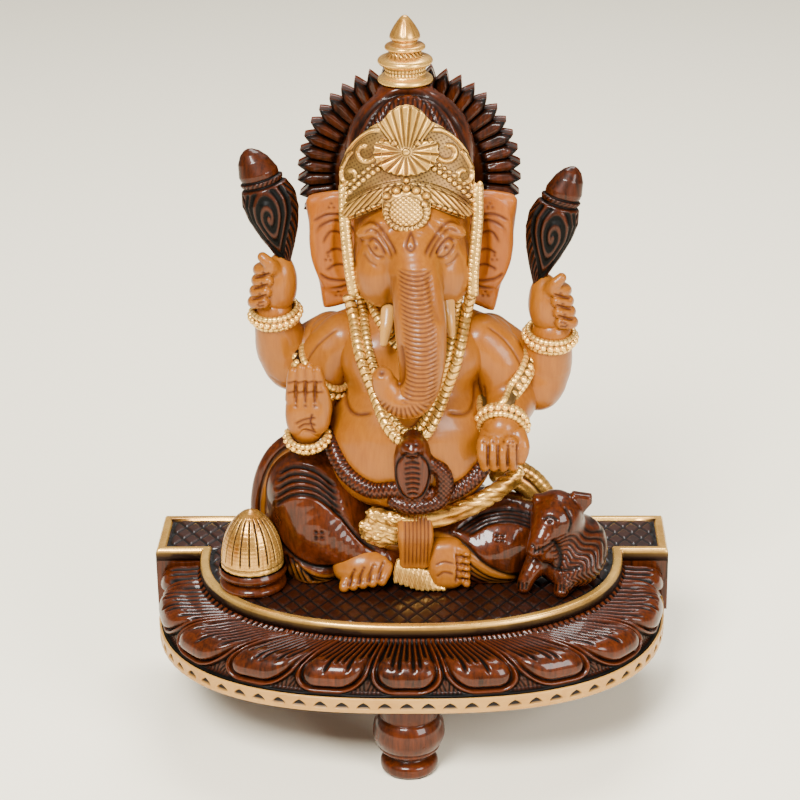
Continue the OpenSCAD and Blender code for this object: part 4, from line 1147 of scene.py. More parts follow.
def make_ears():
    make_ear(-1, "right_ear",
             [(-13, 120.5), (-20, 122.6), (-26, 122), (-30.4, 120.6), (-30.6, 117), (-28.6, 107),
                               (-27.4, 96), (-26.6, 86.4), (-25.4, 84.8), (-20, 86), (-14.5, 88.6),
                               (-13, 100)])
    make_ear(1, "left_ear", [(16, 120.5), (23, 122.6), (29, 122), (33.4, 120.6), (33.8, 117), (31.8, 107),
                             (29.4, 96), (27.6, 86.0), (26.4, 83.6), (21.4, 85.6), (17.6, 88.0), (16, 100)])


# ---------------------------------------------------------------- figure: crown


CROWN_HALF_W = 20.4


def crown_top(x):
    a = np.abs(x)
    return np.interp(a, [0, 2.0, 4.4, 6.6, 10, 13.4, 16.4, 18.6, 19.8, 20.4],
                     [33.4, 33.0, 31.4, 28.6, 26.8, 24.4, 21.6, 18.0, 15.6, 13.6])


def crown_low(x):
    a = np.abs(x)
    arch = np.interp(a, [0, 6, 12, 17, 20.4], [4.6, 3.6, 1.0, -0.6, 1.5])
    pendant = np.where(a < 6.3, 1.4 - np.sqrt(np.maximum(6.3 ** 2 - a ** 2, 0)), 99)
    return np.minimum(arch, pendant)


def crown_relief(x, z):
    """Height and painted shade of the crown's carving at x across and z up the plate."""
    height = np.zeros_like(x)
    dark = np.zeros_like(x)
    a = np.abs(x)

    def bead(bx, bz, r, gain=1.0):
        nonlocal height, dark
        d = np.hypot(x - bx, z - bz)
        dome = np.sqrt(np.clip(1 - (d / r) ** 2, 0, 1))
        ring = groove(d - r - 0.12, 0.5)
        height = np.maximum(height, gain * dome * r) - 0.28 * ring * (d > r)
        # Painted shade in the groove round the bead.
        dark = np.maximum(dark * (1 - (dome > 0.5)), ring * 0.9)

    def line(points, width, depth, shade=0.9):
        nonlocal height, dark
        pts = through(np.array(points, float), 8 * len(points))
        q = np.stack([x.ravel(), z.ravel()], 1)
        d, share = line_distance(q, pts)
        g = groove(d, width) * step(share, -0.01, 0.08) * (1 - step(share, 0.94, 1.01))
        g = g.reshape(x.shape)
        height = height - depth * g
        # Painted shade in the cut.
        if depth > 0:
            dark = np.maximum(dark, shade * g)

    def stroke(points, width, lift=0.8):
        """A raised line with a cut along both of its sides, darkened with painted shade."""
        nonlocal height, dark
        d, share = line_distance(np.stack([x.ravel(), z.ravel()], 1), through(np.array(points, float), 60))
        d, share = d.reshape(x.shape), share.reshape(x.shape)
        ends = step(share, -0.01, 0.05) * (1 - step(share, 0.96, 1.01))
        ridge = groove(d, width) * ends
        moat = groove(d - 0.72 * width, 0.6) * ends
        height = height + lift * ridge - 0.4 * moat
        dark = np.maximum(dark * (1 - ridge), 0.95 * moat)

    # Stippled ground between the figures, sunk and darkened with painted shade, with painted shade along the
    # step down from the rim.
    edge = np.minimum(crown_top(x) - z, CROWN_HALF_W - a)
    ground = groove(saw(x + 0.6 * z, 1.1), 0.5) * groove(saw(z - 0.5 * x, 1.2), 0.6)
    inside = step(edge, 1.3, 2.0)
    height -= 0.5 * inside * (1 - 0.5 * ground)
    dark = np.maximum(dark, 0.3 * inside * ground + 0.7 * inside)
    rim = groove(edge - 1.5, 0.8)
    dark = np.maximum(dark, 0.7 * rim)
    # Scrolls on both wings.
    for s in (-1, 1):
        for cx, cz, r, spin_by, at in ((11.4, 19.6, 3.9, 1, 2.4), (16.2, 12.6, 3.1, -1, 0.6)):
            t = np.linspace(0, 1.9 * math.pi, 12)
            rr = r * (1 - 0.66 * t / t[-1])
            stroke(np.stack([s * (cx + rr * np.cos(t * spin_by + at)), cz + rr * np.sin(t * spin_by + at)],
                            1), 1.35)
        stroke([(s * 6.8, 25.8), (s * 10.4, 25.4), (s * 14.4, 22.6), (s * 17.6, 18.4)], 1.1)
        stroke([(s * 15.2, 19.6), (s * 16.8, 18.0), (s * 18.8, 14.6)], 1.1)
        stroke([(s * 17.6, 5.6), (s * 18.8, 7.6), (s * 18.4, 10.2)], 1.1)
        # Two bead rows that fall to the outside.
        for k in range(9):
            bead(s * (7.6 + 1.42 * k), 14.4 - 1.02 * k - 0.02 * k * k, 0.86, 1.0)
        for k in range(8):
            bead(s * (9.0 + 1.42 * k), 15.5 - 1.02 * k - 0.02 * k * k, 0.62, 1.0)
    # Flower in the middle: flutes that spread sideways and down from its heart, darkened with painted shade.
    heart_z = 19.4
    dx, dz = x, z - heart_z
    radius = np.hypot(dx, dz)
    angle = np.arctan2(dx, -dz)
    reach = 6.8 + 1.4 * np.abs(np.sin(angle)) ** 2 + 0.5 * np.abs(np.cos(angle * 8.5))
    flower = (1 - step(radius, reach - 0.3, reach)) * step(-dz, -3.8, -3.0)
    flute = groove(saw(angle, math.pi / 8.5) * np.maximum(radius, 1), 0.75) * step(radius, 0.9, 1.8)
    height = np.where(flower > 0.02, height * (1 - flower) + flower * (1.0 + 0.12 * radius - 0.7 * flute),
                      height)
    dark = dark * (1 - flower) + flower * flute * 0.85
    lip = groove(radius - reach - 0.25, 0.6) * step(-dz, -3.8, -3.0)
    dark = np.maximum(dark, 0.8 * lip)
    # Fan of leaves above it, with painted shade in the cuts between them.
    up = step(dz, 0.2, 1.0)
    tilt = np.arctan2(dx, dz + 3.0)
    far = np.hypot(dx, dz + 3.0)
    fan = up * (1 - step(np.abs(tilt), 0.56, 0.62)) * step(far, 3.8, 4.6)
    leaf = groove(saw(tilt + 0.075, 0.15) * far, 0.62)
    height = np.where(fan > 0.02, height * (1 - fan) + fan * (0.9 + 0.05 * far - 0.75 * leaf), height)
    dark = dark * (1 - fan) + fan * leaf * 0.85
    bead(0, heart_z, 0.9)
    for k in (-1, 1):
        bead(k * 3.0, heart_z + 2.6, 0.8)
        bead(k * 6.4, heart_z + 3.4, 0.7)
    # Headband: an arch with leaf hatching and lines along both edges, with painted shade in the hatching and
    # the lines.
    middle_line = 9.6 - 0.022 * x ** 2
    band = np.abs(z - (middle_line - 3.4))
    on_band = (1 - step(band, 3.7, 4.1))
    hatch = groove(saw(z * 0.8 + a * 0.9, 1.5), 0.6) * on_band * (1 - step(a, 17.0, 18.5))
    height = height * (1 - on_band) + on_band * (0.75 + 0.35 * (1 - (band / 4.0) ** 2)) - 0.4 * hatch
    dark = dark * (1 - on_band) + 0.95 * hatch
    for off in (0.35, -6.9):
        edge_line = groove(z - middle_line - off + 0.3, 0.6)
        height -= 0.5 * edge_line * (a < 19.5)
        dark = np.maximum(dark, 0.85 * edge_line * (a < 19.5))
        ridge = groove(z - middle_line - off - 0.6, 0.9)
        height += 0.45 * ridge
    # Oval boss with a ring of beads and three larger beads over it, with painted shade in its crossed cuts
    # and round its edge.
    boss = np.hypot(x / 5.0, (z - 1.6) / 4.8)
    dome = np.sqrt(np.clip(1 - boss ** 2, 0, 1))
    inside = boss < 1.25
    height = np.where(inside, 1.0 + 1.0 * dome, height)
    mesh_cut = groove(saw(x + z, 1.5), 0.5) + groove(saw(x - z, 1.5), 0.5)
    height = height - 0.22 * mesh_cut * (boss < 0.95)
    dark = np.where(inside, 0.6 * np.clip(mesh_cut, 0, 1) * (boss < 0.95), dark)
    dark = np.maximum(dark, 0.8 * groove((boss - 1.0) * 5, 0.7))
    for k in range(17):
        t = math.radians(-205 + 14.4 * k * 1.02)
        bead(5.55 * math.cos(t), 1.4 + 5.1 * math.sin(t), 0.92, 1.6)
    for k in range(-2, 3):
        bead(2.6 * k, 8.6 - 0.55 * k * k, 1.12, 1.9)
    bead(0, 11.0, 0.95, 1.7)
    for k in (-1, 1):
        for j in range(5):
            bead(k * (7.2 + 1.5 * j), 3.3 - 0.32 * j - 0.05 * j * j, 0.72, 1.5)
    return height, np.clip(dark, 0, 1)


CROWN_FOOT = (0.6, 0.2, 121.4)
CROWN_LEAN = math.radians(17)
CROWN_CURVE = 27.0


def crown_place(x, z, out):
    """Point of the plate at x across, z up and out from its face, bent round the forehead."""
    turn = x / CROWN_CURVE
    radius = CROWN_CURVE + out
    px = radius * np.sin(turn)
    py = CROWN_CURVE - radius * np.cos(turn)
    wide = 20.4 / (CROWN_CURVE * math.sin(20.4 / CROWN_CURVE))
    px = px * wide
    y = py * math.cos(CROWN_LEAN) + z * math.sin(CROWN_LEAN)
    up = z * math.cos(CROWN_LEAN) - py * math.sin(CROWN_LEAN)
    return np.stack([CROWN_FOOT[0] + px, CROWN_FOOT[1] + y, CROWN_FOOT[2] + up], -1)


def make_crown_plate():
    columns, rows = ((250, 200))
    x = np.linspace(-CROWN_HALF_W, CROWN_HALF_W, columns)[:, None]
    f = np.linspace(0, 1, rows)[None]
    low, high = crown_low(x), crown_top(x)
    z = low + (high - low) * f
    x = x + 0 * z
    height, dark = crown_relief(x, z)
    near_edge = np.minimum(np.minimum(f, 1 - f) * (high - low), CROWN_HALF_W - np.abs(x))
    height = height * step(near_edge, -0.05, 0.8) - 0.5 * (1 - step(near_edge, -0.05, 0.7))
    front = crown_place(x, z, 0.35 + height)
    back = crown_place(x, z, -3.0 + 0 * z)
    a = raised(front.reshape(-1, 3))
    grid = grid_faces(columns, rows)
    loop_front = np.concatenate([np.arange(rows), (np.arange(1, columns)) * rows + rows - 1,
                                 (columns - 1) * rows + np.arange(rows - 2, -1, -1),
                                 np.arange(columns - 2, 0, -1) * rows])
    loop_back = loop_front + columns * rows
    skirt = np.stack([loop_front, np.roll(loop_front, -1), np.roll(loop_back, -1), loop_back], 1)
    b = raised(back.reshape(-1, 3))
    points = np.concatenate([a, b])
    faces = np.concatenate([grid, grid[:, ::-1] + columns * rows, skirt[:, ::-1]])
    piece("crown_fillet", points, faces, "gold", np.concatenate([dark.ravel(), np.zeros(columns * rows)]),
          ["crown_plate"], cavity=1.2)


def make_crown_cap():
    c = Clay((-22, 8, 106), (25, 40, 158))
    c.blob((1.2, 25, 134), (19.8, 14, 21))
    c.blob((1.2, 27, 124), (18.6, 14, 16), k=3)
    c.blob((0, 28.4, 152.6), (8.6, 8.6, 4), k=1.5)
    c.trim((0, 37.6, 0), (0, 1, 0))
    s = Skin(c)
    q = s.flat(14, 0.30)
    # Bands that arch over the cap, with hair lines between them, all darkened with painted shade.
    for scale, width, depth in ((0.97, 0.9, 0.4), (0.92, 0.8, 0.4), (0.80, 0.9, 0.4), (0.75, 0.8, 0.4),
                                (0.55, 0.9, 0.4), (0.3, 0.8, 0.4)):
        arch = np.hypot((q[:, 0] - 1.0) / (19.6 * scale), np.maximum(q[:, 1] - 128, 0) / 28.5)
        away = np.abs(arch - 1) * 17
        g = groove(away, width) * (q[:, 1] > 126)
        s.press(-depth * g, 0.8 * g)
    fan = np.arctan2(q[:, 0] - 1.0, q[:, 1] - 118)
    hair = groove(saw(fan, 0.042) * 34,
                  0.62) * (np.hypot((q[:, 0] - 1.0) / 18.2, (q[:, 1] - 128) / 28.5) < 0.93)
    s.press(-0.3 * hair, 0.95 * hair)
    # Curls round the back, darkened with painted shade.
    back = step(s.p[:, 1], 24, 27)
    curls = groove(saw(s.p[:, 2] + 2.2 * np.sin(s.p[:, 0] * 0.35), 2.4), 0.9) * back
    s.press(-0.4 * curls, 0.7 * curls)
    s.make("crown_cap_hair", "dark", ["crown_cap"])


def make_bead_strands():
    """Two ribbons of small beads that hang from the crown beside the face."""
    parts = []
    for side, low_x in ((-1, 17.4), (1, 18.4)):
        line = through(np.array([(1.8 + side * 20.0, 9.5, 128.5), (1.8 + side * 20.0, 7.0, 120),
                                 (1.8 + side * 19.4, 4.6, 112), (1.8 + side * 18.6, 3.4, 103.5),
                                 (1.8 + side * low_x, 3.4, 95.5)]), 25)
        # The ribbon under the beads is half darkened, painted shade between the beads.
        parts.append(tube(line, 1.75, 12, lambda s, a: (0 * a, 0 * a + 0.5), flat=0.95))
        for i, point in enumerate(line):
            for k in (-1, 1):
                parts.append(ball(point + np.array([0.7 * k, -0.75, 0.6 * (k > 0)]),
                                  0.95 - 0.14 * (i % 3 == 0)))
    strand_piece("hanging_bead_strands", parts, "gold", ["bead_strands"], cavity=1.6)


def make_halo():
    """Carved rays round a disc, behind the crown."""
    ref_x, ref_y, ref_z = 0.5, 39.0, 122.8
    radius, rays = 34.9, 45
    around, along = ((45 * 20, 40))
    angle = (np.arange(around) / around * 2 * math.pi)[:, None]
    phase = (angle * rays / (2 * math.pi)) % 1.0
    point = 1 - np.abs(phase - 0.5) * 2
    tip = radius - 3.6 * (1 - point) ** 1.1
    f = np.linspace(0, 1, along)[None]
    hub_r = 0.05
    r = hub_r + (tip - hub_r) * f ** 0.8
    bar = step(point, 0.0, 0.34)
    ray_zone = step(r, 23.2, 24.4)
    lift = ray_zone * (1.5 * bar + 0.9 * (1 - np.abs(phase - 0.62) * 1.6)) + (1 - ray_zone) * 0.9
    lift = lift * (1 - 0.55 * step(f, 0.93, 1.0))
    inner = groove(r - 23.4, 1.2)
    # Painted shade in the sunk gaps between the rays and along the step at their inner ends; the flat share
    # darkens the whole face a little.
    dark = np.clip(ray_zone * (1 - bar) * 1.2 + inner + 0.15, 0, 1)
    scratch = groove(saw(r + 8 * phase, 1.7), 0.4) * ray_zone * 0.4
    lift = lift - 0.25 * scratch
    y_front = ref_y - 1.6 - lift + 0.1
    front = np.stack([ref_x + r * np.sin(angle), np.broadcast_to(y_front, r.shape),
                      ref_z + r * np.cos(angle)], -1)
    back_y = np.full(r.shape, 43.0) - 0.8 * step(f, 0.9, 1.0)
    back = np.stack([ref_x + r * np.sin(angle), back_y, ref_z + r * np.cos(angle)], -1)
    n = around * along
    grid = grid_faces(around, along, wrap_rows=True)
    outer = np.arange(around) * along + along - 1
    hub = np.arange(around) * along
    rim = np.stack([outer, np.roll(outer, -1), np.roll(outer, -1) + n, outer + n], 1)
    centre = np.stack([hub, hub + n, np.roll(hub, -1) + n, np.roll(hub, -1)], 1)
    points = raised(np.concatenate([front.reshape(-1, 3), back.reshape(-1, 3)]))
    faces = np.concatenate([grid, grid[:, ::-1] + n, rim[:, ::-1], centre[:, ::-1]])
    piece("halo_of_rays", points, faces[:, ::-1], "dark", np.concatenate([dark.ravel(), 0 * dark.ravel()]),
          ["halo"])


# ---------------------------------------------------------------- figure: torso and arms


def torso_clay():
    c = Clay((-36, -13, 20), (40, 38, 102))
    c.blob((0.8, 11.5, 47.5), (26.8, 21.5, 22))
    c.blob((0.8, 6, 38.4), (24.6, 15, 15.6), k=5)
    c.blob((0.8, 16, 72), (22, 15, 18), k=8)
    c.blob((0.8, 20, 66), (21, 15, 22), k=6)
    c.limb([(-8, 17, 78), (-23, 17.5, 75)], (10, 8.6), k=5)
    c.limb([(10, 17, 77), (24.5, 17.5, 74)], (10, 9), k=5)
    c.blob((-10.5, 6.4, 73), (9.6, 6.4, 9), k=4)
    c.blob((12.4, 6.4, 73), (9.6, 6.4, 9), k=4)
    c.blob((1.2, 17, 92), (12, 11, 9), k=5)
    return c


TORSO = torso_clay()
CLAYS = {}


def make_torso():
    s = Skin(TORSO)
    # Breast folds and the line of the waist.
    s.score([(-19.5, 72), (-19.0, 64), (-16, 60), (-10, 60.4)], 1.3, 0.55, ref=-5, slant=0.43, dark=0.85)
    s.score([(21.0, 72), (20.6, 64), (18, 60), (12, 60.4)], 1.3, 0.55, ref=-5, slant=0.43, dark=0.75)
    # Seam where the ears and shoulders are glued on.
    s.score3([(-27, 14, 84), (-20, 10.4, 87.6), (-13, 8, 89)], 0.8, 0.3)
    s.score3([(29, 14, 83), (22, 10.6, 86), (16, 8.6, 88)], 0.8, 0.3)
    s.make("belly_and_chest", "tan", ["torso"])


def limb_piece(name, node, low, high, build, marks=None, paint="tan", gap=None, **options):
    c = Clay(low, high, gap)
    build(c)
    CLAYS[node] = c
    s = Skin(c)
    if marks:
        marks(s)
    return s.make(name, paint, [node], **options)


def make_arms():
    def rear_right(c):
        c.limb([(-24, 21, 75), (-30, 20, 71), (-35, 19, 68.6), (-38.8, 18.4, 72), (-40.2, 16.6, 79),
                (-41.2, 15, 86)],
               (8.2, 9.0, 9.2, 8.6, 7.4, 5.9), steps=24)
        c.blob((-36.6, 17, 66.5), (6.4, 7.0, 6.4), k=4)

    def rear_left(c):
        c.limb([(25, 21, 74), (33, 20, 67), (39, 19, 62), (42.2, 18.4, 66), (43.6, 16.6, 72),
                (44.6, 15, 78.6)],
               (8.4, 9.2, 9.5, 8.8, 7.6, 6.2), steps=24)
        c.blob((40.6, 17, 59.4), (6.4, 7.2, 6.4), k=4)

    def front_right(c):
        c.limb([(-20, 14, 77), (-25.5, 13, 71), (-30, 11, 58)], (8.4, 8.3, 7.2), steps=10)
        c.limb([(-30, 11, 57), (-31, 5, 53.6), (-31, 1, 52.8)], (7.2, 6.2, 5.4), steps=8, k=3)

    def front_left(c):
        c.limb([(22, 15, 76), (28, 14, 70), (32, 12.5, 58)], (8.8, 8.8, 7.8), steps=10)
        c.limb([(32, 12.5, 58), (30.6, 4, 56), (29, -1.6, 53.4)], (7.8, 7.0, 6.0), steps=8, k=3)

    def folds_right(s):
        s.score([(-34, 73), (-29, 78), (-26.5, 83)], 0.9, 0.35, ref=12)
        s.score([(-44, 66.5), (-38, 62.6), (-32, 62.0)], 0.8, 0.2, ref=11, dark=0.4)

    def folds_left(s):
        s.score([(36, 66), (33, 72), (30.6, 79)], 0.9, 0.35, ref=12)

    def crease_right(s):
        s.score([(-21, 83), (-27, 78), (-31, 72), (-33, 66)], 0.8, 0.3, ref=8, dark=0.7)
        s.score([(-26, 60.5), (-24.6, 54), (-25.6, 48.6)], 0.9, 0.3, ref=3, dark=0.7)

    def crease_left(s):
        s.score([(24, 84), (30, 79), (34.5, 72), (36.6, 65)], 0.8, 0.3, ref=8, dark=0.7)
        s.score([(23.6, 66), (24.4, 59), (27, 54)], 0.9, 0.35, ref=4, dark=0.7)

    limb_piece("rear_right_arm_bent", "rear_right_arm", (-50, 8, 54), (-15, 33, 93), rear_right, folds_right)
    limb_piece("rear_left_arm_bent", "rear_left_arm", (15, 8, 48), (54, 33, 86), rear_left, folds_left)
    limb_piece("front_right_arm_bent", "front_right_arm", (-40, -7, 44), (-9, 25, 88), front_right,
               crease_right)
    limb_piece("front_left_arm_bent", "front_left_arm", (11, -10, 44), (43, 26, 88), front_left, crease_left)


def make_hands():
    # Open palm of the blessing hand.
    def palm(c):
        c.blob((-31, -1.0, 55), (6.0, 3.4, 5.4))
        c.blob((-30.8, -1.2, 61), (6.6, 3.2, 6.2), k=3)
        c.blob((-27.4, -2.6, 57.4), (3.6, 2.6, 4.8), k=1.8)
        c.blob((-34.0, -2.2, 57.6), (3.0, 2.2, 4.8), k=1.8)
        for i in range(4):
            tip = 74.4 - 0.75 * abs(i - 1.6) ** 1.3
            c.limb([(-35.5 + 3.05 * i, -1.6, 63.5), (-35.1 + 2.85 * i, -2.2, 69),
                    (-34.7 + 2.55 * i, -2.2, tip)],
                   (1.9, 1.75, 1.45), k=0.25, steps=6)
        c.limb([(-26.4, -1.6, 56.5), (-24.9, -2.6, 61.5), (-25.3, -2.8, 66.6)], (2.5, 2.0, 1.5), k=1.2,
               steps=7)

    def palm_lines(s):
        for i in range(3):
            x = -34.0 + 2.95 * i
            s.score([(x, 62.6), (x + 0.1, 66.4), (x + 0.3, 71.0)], 0.85, 0.5, ref=-4)
            s.dots([(x, 62.2)], 1.1, 0.4, ref=-4)
        for i, z in enumerate((57.6, 56.0, 54.2)):
            s.score([(-34.6 + i, z - 1.6), (-31.4, z), (-27.6, z + 0.8 - i)], 0.8, 0.4, ref=-4)
        s.score([(-28.8, 60.0), (-29.6, 56.6), (-28.4, 53.4)], 0.8, 0.35, ref=-4)
        for i in range(4):
            x = -35.2 + 2.8 * i
            s.score([(x - 1, 66.6), (x + 1, 66.9)], 0.7, 0.25, ref=-4, taper=0)
            s.score([(x - 0.8, 69.9), (x + 1, 70.2)], 0.7, 0.25, ref=-4, taper=0)

    limb_piece("blessing_hand", "front_right_palm", (-41, -8, 46), (-19, 6, 79), palm, palm_lines,
               gap=HAND_FINE)

    # Hand that holds the sweet, seen from its knuckles.
    def sweet_hand(c):
        c.blob((28.4, -4.6, 48.4), (7.2, 4.8, 5.8))
        c.blob((29.0, -1.6, 52.2), (6.4, 5.0, 4.6), k=3)
        for i in range(4):
            c.limb([(23.4 + 3.0 * i, -7.4, 51.4), (23.3 + 3.0 * i, -9.4, 48.4), (23.8 + 2.9 * i, -8.6, 43.8)],
                   (2.0, 1.95, 1.5), k=0.3, steps=7)
        c.limb([(34.2, -4.6, 52.6), (35.6, -7.2, 49.4), (34.9, -7.4, 45.6)], (2.6, 2.1, 1.6), k=0.8, steps=7)
        c.blob((31.4, -8.9, 51.4), (2.7, 2.2, 2.5), k=0.3)

    def sweet_lines(s):
        for i in range(4):
            x = 24.9 + 3.0 * i
            s.score([(x, 52.0), (x - 0.1, 48.0), (x, 43.4)], 0.8, 0.55, ref=-9)
            s.dots([(x - 1.4, 52.4)], 0.9, 0.35, ref=-9)
        s.dots([(31.4, 52.6), (30.6, 51.4), (32.4, 51.2)], 0.8, 0.35, ref=-10)

    limb_piece("sweet_holding_hand", "front_left_hand", (17, -14, 38), (41, 5, 59), sweet_hand, sweet_lines,
               gap=HAND_FINE)

    def fist(side, cx, cz):
        def build(c):
            c.blob((cx + 1.0 * side * -1, 14.4, cz - 1.0), (6.2, 6.2, 8.2))
            c.blob((cx - 2.4 * side, 14.2, cz + 3.5), (4.2, 5.0, 6.4), k=2.5)
            for i in range(4):
                z = cz - 5.2 + 3.5 * i
                reach = 0.7 * i
                c.limb([(cx + side * (5.2 - reach), 15.4, z - 0.4),
                        (cx + side * (5.9 - reach), 11.0, z + 0.3),
                        (cx + side * (2.6 - reach), 8.4, z + 1.2)], (2.0, 2.1, 1.8), k=0.35, steps=8)
            c.limb([(cx - 1.0 * side, 10.6, cz + 5.6), (cx + 0.6 * side, 8.4, cz + 8.6),
                    (cx + 2.6 * side, 8.6, cz + 10.6)], (2.3, 2.0, 1.6), k=0.6, steps=7)

        def marks(s):
            for i in range(4):
                z = cz - 3.6 + 3.5 * i
                s.dots([(cx + side * (4.6 - 0.7 * i), z - 1.2)], 1.0, 0.4, ref=8)
            for i in range(3):
                z = cz - 3.4 + 3.5 * i
                s.score([(cx + side * (7.0 - 0.6 * i), z + 0.2), (cx + side * (4.4 - 0.6 * i), z + 0.6),
                         (cx + side * (1.2 - 0.6 * i), z + 1.6)], 0.85, 0.55, ref=9, slant=0.35)
            for i in range(4):
                s.score([(cx + side * 4.6, cz - 8.6 + 1.4 * i), (cx + side * 2.2, cz - 8.2 + 1.4 * i)], 0.7,
                        0.3, ref=9, smooth=False)
        return build, marks

    build, marks = fist(-1, -41.0, 95.5)
    limb_piece("conch_grip_right", "rear_right_fist", (-52, 3, 82), (-30, 25, 112), build, marks,
               gap=HAND_FINE)
    build, marks = fist(1, 44.6, 88.4)
    limb_piece("conch_grip_left", "rear_left_fist", (34, 3, 75), (56, 25, 105), build, marks, gap=HAND_FINE)


def twisted(s, a):
    """Relief of a twisted wire: a shallow cut at every turn, darkened with painted shade."""
    cut = groove(saw(s, 1.5), 0.5)
    return -0.12 * cut, 0.7 * cut


def beaded_band(path, radius, wide, beads, bead_r):
    """Bracelet: a flat band with raised edges and a row of beads between them."""
    parts = []
    path = np.asarray(path)
    centre = path.mean(0)
    outward = path - centre
    outward /= np.linalg.norm(outward, axis=1, keepdims=True)
    axis = np.cross(path[1] - path[0], outward[0])
    axis /= np.linalg.norm(axis)
    for shift in (-wide / 2, wide / 2):
        parts.append(tube(path + axis * shift, radius, 10, relief=twisted, closed=True))
    n = len(path)
    for i in range(beads):
        j = int(i * n / beads)
        parts.append(ball(path[j] + outward[j] * 0.9, bead_r))
    # The sunk band between the edges is darkened, painted shade round the beads.
    parts.append(tube(path - outward * 0.35, wide * 0.42, 10, lambda s, a: (0 * a, 0 * a + 0.9), closed=True))
    return parts


def ring_path(centre, axis, radius, count=200, oval=1.0):
    axis = np.array(axis, float) / np.linalg.norm(axis)
    a = np.cross(axis, (0, 1, 0.01))
    a /= np.linalg.norm(a)
    b = np.cross(axis, a)
    t = np.arange(count) / count * 2 * math.pi
    return np.array(centre) + radius * (np.cos(t)[:, None] * a * oval + np.sin(t)[:, None] * b)


def girdle(clay, centre, axis, clear, count=220):
    """Path round a limb where a plane meets its surface, standing clear of it."""
    unit = ring_path((0, 0, 0), axis, 1.0, count)
    reach = np.arange(3.0, 15.0, 0.2)
    spots = np.array(centre) + unit[:, None] * reach[None, :, None]
    cell = np.clip(((spots - clay.low) / clay.gap).round().astype(int), 0, clay.size - 1)
    outside = clay.d[cell[..., 0], cell[..., 1], cell[..., 2]] > 0
    radius = reach[np.where(outside.any(1), outside.argmax(1), len(reach) - 1)]
    for _ in range(12):
        radius = 0.5 * radius + 0.25 * (np.roll(radius, 1) + np.roll(radius, -1))
    return np.array(centre) + unit * (radius + clear)[:, None]


def make_bracelets():
    parts = []
    right, left = CLAYS["front_right_arm"], CLAYS["front_left_arm"]
    parts += beaded_band(girdle(right, (-26.2, 12.6, 67.0), (0.62, -0.25, 0.78), 0.5), 1.1, 4.6, 24, 1.3)
    parts += beaded_band(girdle(left, (29.6, 13.2, 64.5), (-0.60, -0.25, 0.80), 0.5), 1.1, 4.2, 25, 1.25)
    strand_piece("beaded_armlets", parts, "gold", ["armlets"], cavity=1.5)
    parts = []
    parts += beaded_band(ring_path((-40.9, 15.2, 85.4), (-0.6, -1.6, 8), 6.9), 0.95, 3.4, 24, 1.1)
    parts += beaded_band(ring_path((44.2, 15.2, 77.6), (0.6, -1.6, 8), 7.1), 0.95, 3.4, 24, 1.1)
    parts += beaded_band(ring_path((-31.0, -0.4, 50.4), (0.0, -3.0, 8), 5.9), 0.9, 2.2, 20, 0.9)
    parts += beaded_band(ring_path((29.3, 0.4, 54.2), (-1.0, -8, -4.0), 6.9), 1.0, 3.6, 22, 1.2)
    strand_piece("beaded_bangles", parts, "gold", ["bangles"], cavity=1.5)


def make_conch(node, name, tip, point, radius, side):
    """Conch on its axis, with a capped tip, a collar and a carved paisley spiral."""
    tip, point = np.array(tip, float), np.array(point, float)
    axis = tip - point
    length = np.linalg.norm(axis)
    axis /= length
    front = np.array([0, -1, 0.0]) + axis * axis[1]
    front /= np.linalg.norm(front)
    out = np.cross(front, axis)
    along, around = ((190, 150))
    f = np.linspace(0, 1, along)[:, None]
    a = (np.arange(around) / around * 2 * math.pi)[None]
    profile = np.interp(f,
                        [0, 0.04, 0.15, 0.3, 0.45, 0.58, 0.68, 0.705, 0.74, 0.76, 0.8, 0.9, 0.96, 0.99, 1.0],
                        [0.04, 0.14, 0.40, 0.72, 0.94, 1.0, 0.86, 0.74, 0.80, 0.70, 0.72, 0.56, 0.36, 0.16,
                         0.0])
    r = profile * radius
    sway = side * 1.4 * np.sin(math.pi * f)
    x = (a + math.pi) % (2 * math.pi) - math.pi
    body = step(f, 0.05, 0.12) * (1 - step(f, 0.66, 0.69))
    # Paisley: a spiral curls inside a drop that faces forward, and flutes lean round the back.
    px = (x * radius * 0.8 - side * (f - 0.45) * 5) / (0.42 + 0.26 * step(f, 0.1, 0.55))
    pz = (f - 0.46) * length * 0.62
    drop = np.hypot(px + side * 1.2, pz) / 8.6
    turn = np.arctan2(pz, side * px + 1.2) / (2 * math.pi)
    spiral = groove(saw(drop - 0.34 * turn, 0.34) * 5.4, 1.0)
    spiral = spiral * (1 - step(drop, 1.0, 1.08)) * step(drop, 0.04, 0.12)
    outline = groove((drop - 1.1) * 6, 1.2)
    flutes = groove(saw(x * 2.2 + f * 7 * side, 0.72) * 3, 0.95) * step(drop, 1.2, 1.34)
    rings = np.maximum(spiral, outline)
    pattern = np.clip(rings + flutes, 0, 1) * body
    collar = groove(f - 0.70, 0.016) + groove(f - 0.752, 0.014)
    ribs = groove(saw(x * 3.2 + f * 16, 0.8) * 2.4, 0.8) * step(f, 0.705, 0.72) * (1 - step(f, 0.735, 0.75))
    r = r - 0.62 * pattern - 0.6 * collar - 0.3 * ribs
    r = np.maximum(r, 0.02)
    centre = point + axis * (f[..., None] * length) + out * sway[..., None]
    points = centre + front * (np.cos(a) * r * 0.88)[..., None] + out * (np.sin(a) * r)[..., None]
    # Painted shade in the spiral, the flutes, the collar and the ribs; the flat share darkens the whole
    # shell's tone.
    dark = np.clip(1.6 * pattern + collar + 0.6 * ribs + 0.3, 0, 1)
    faces = grid_faces(along, around, wrap_columns=True)
    piece(name, raised(points.reshape(-1, 3)), faces, "dark", dark.ravel(), [node])


# ---------------------------------------------------------------- figure: ornaments on the body


def body_line(x, z, lift):
    x, z = np.asarray(x, float), np.asarray(z, float)
    return TORSO.front(x, z, lift)


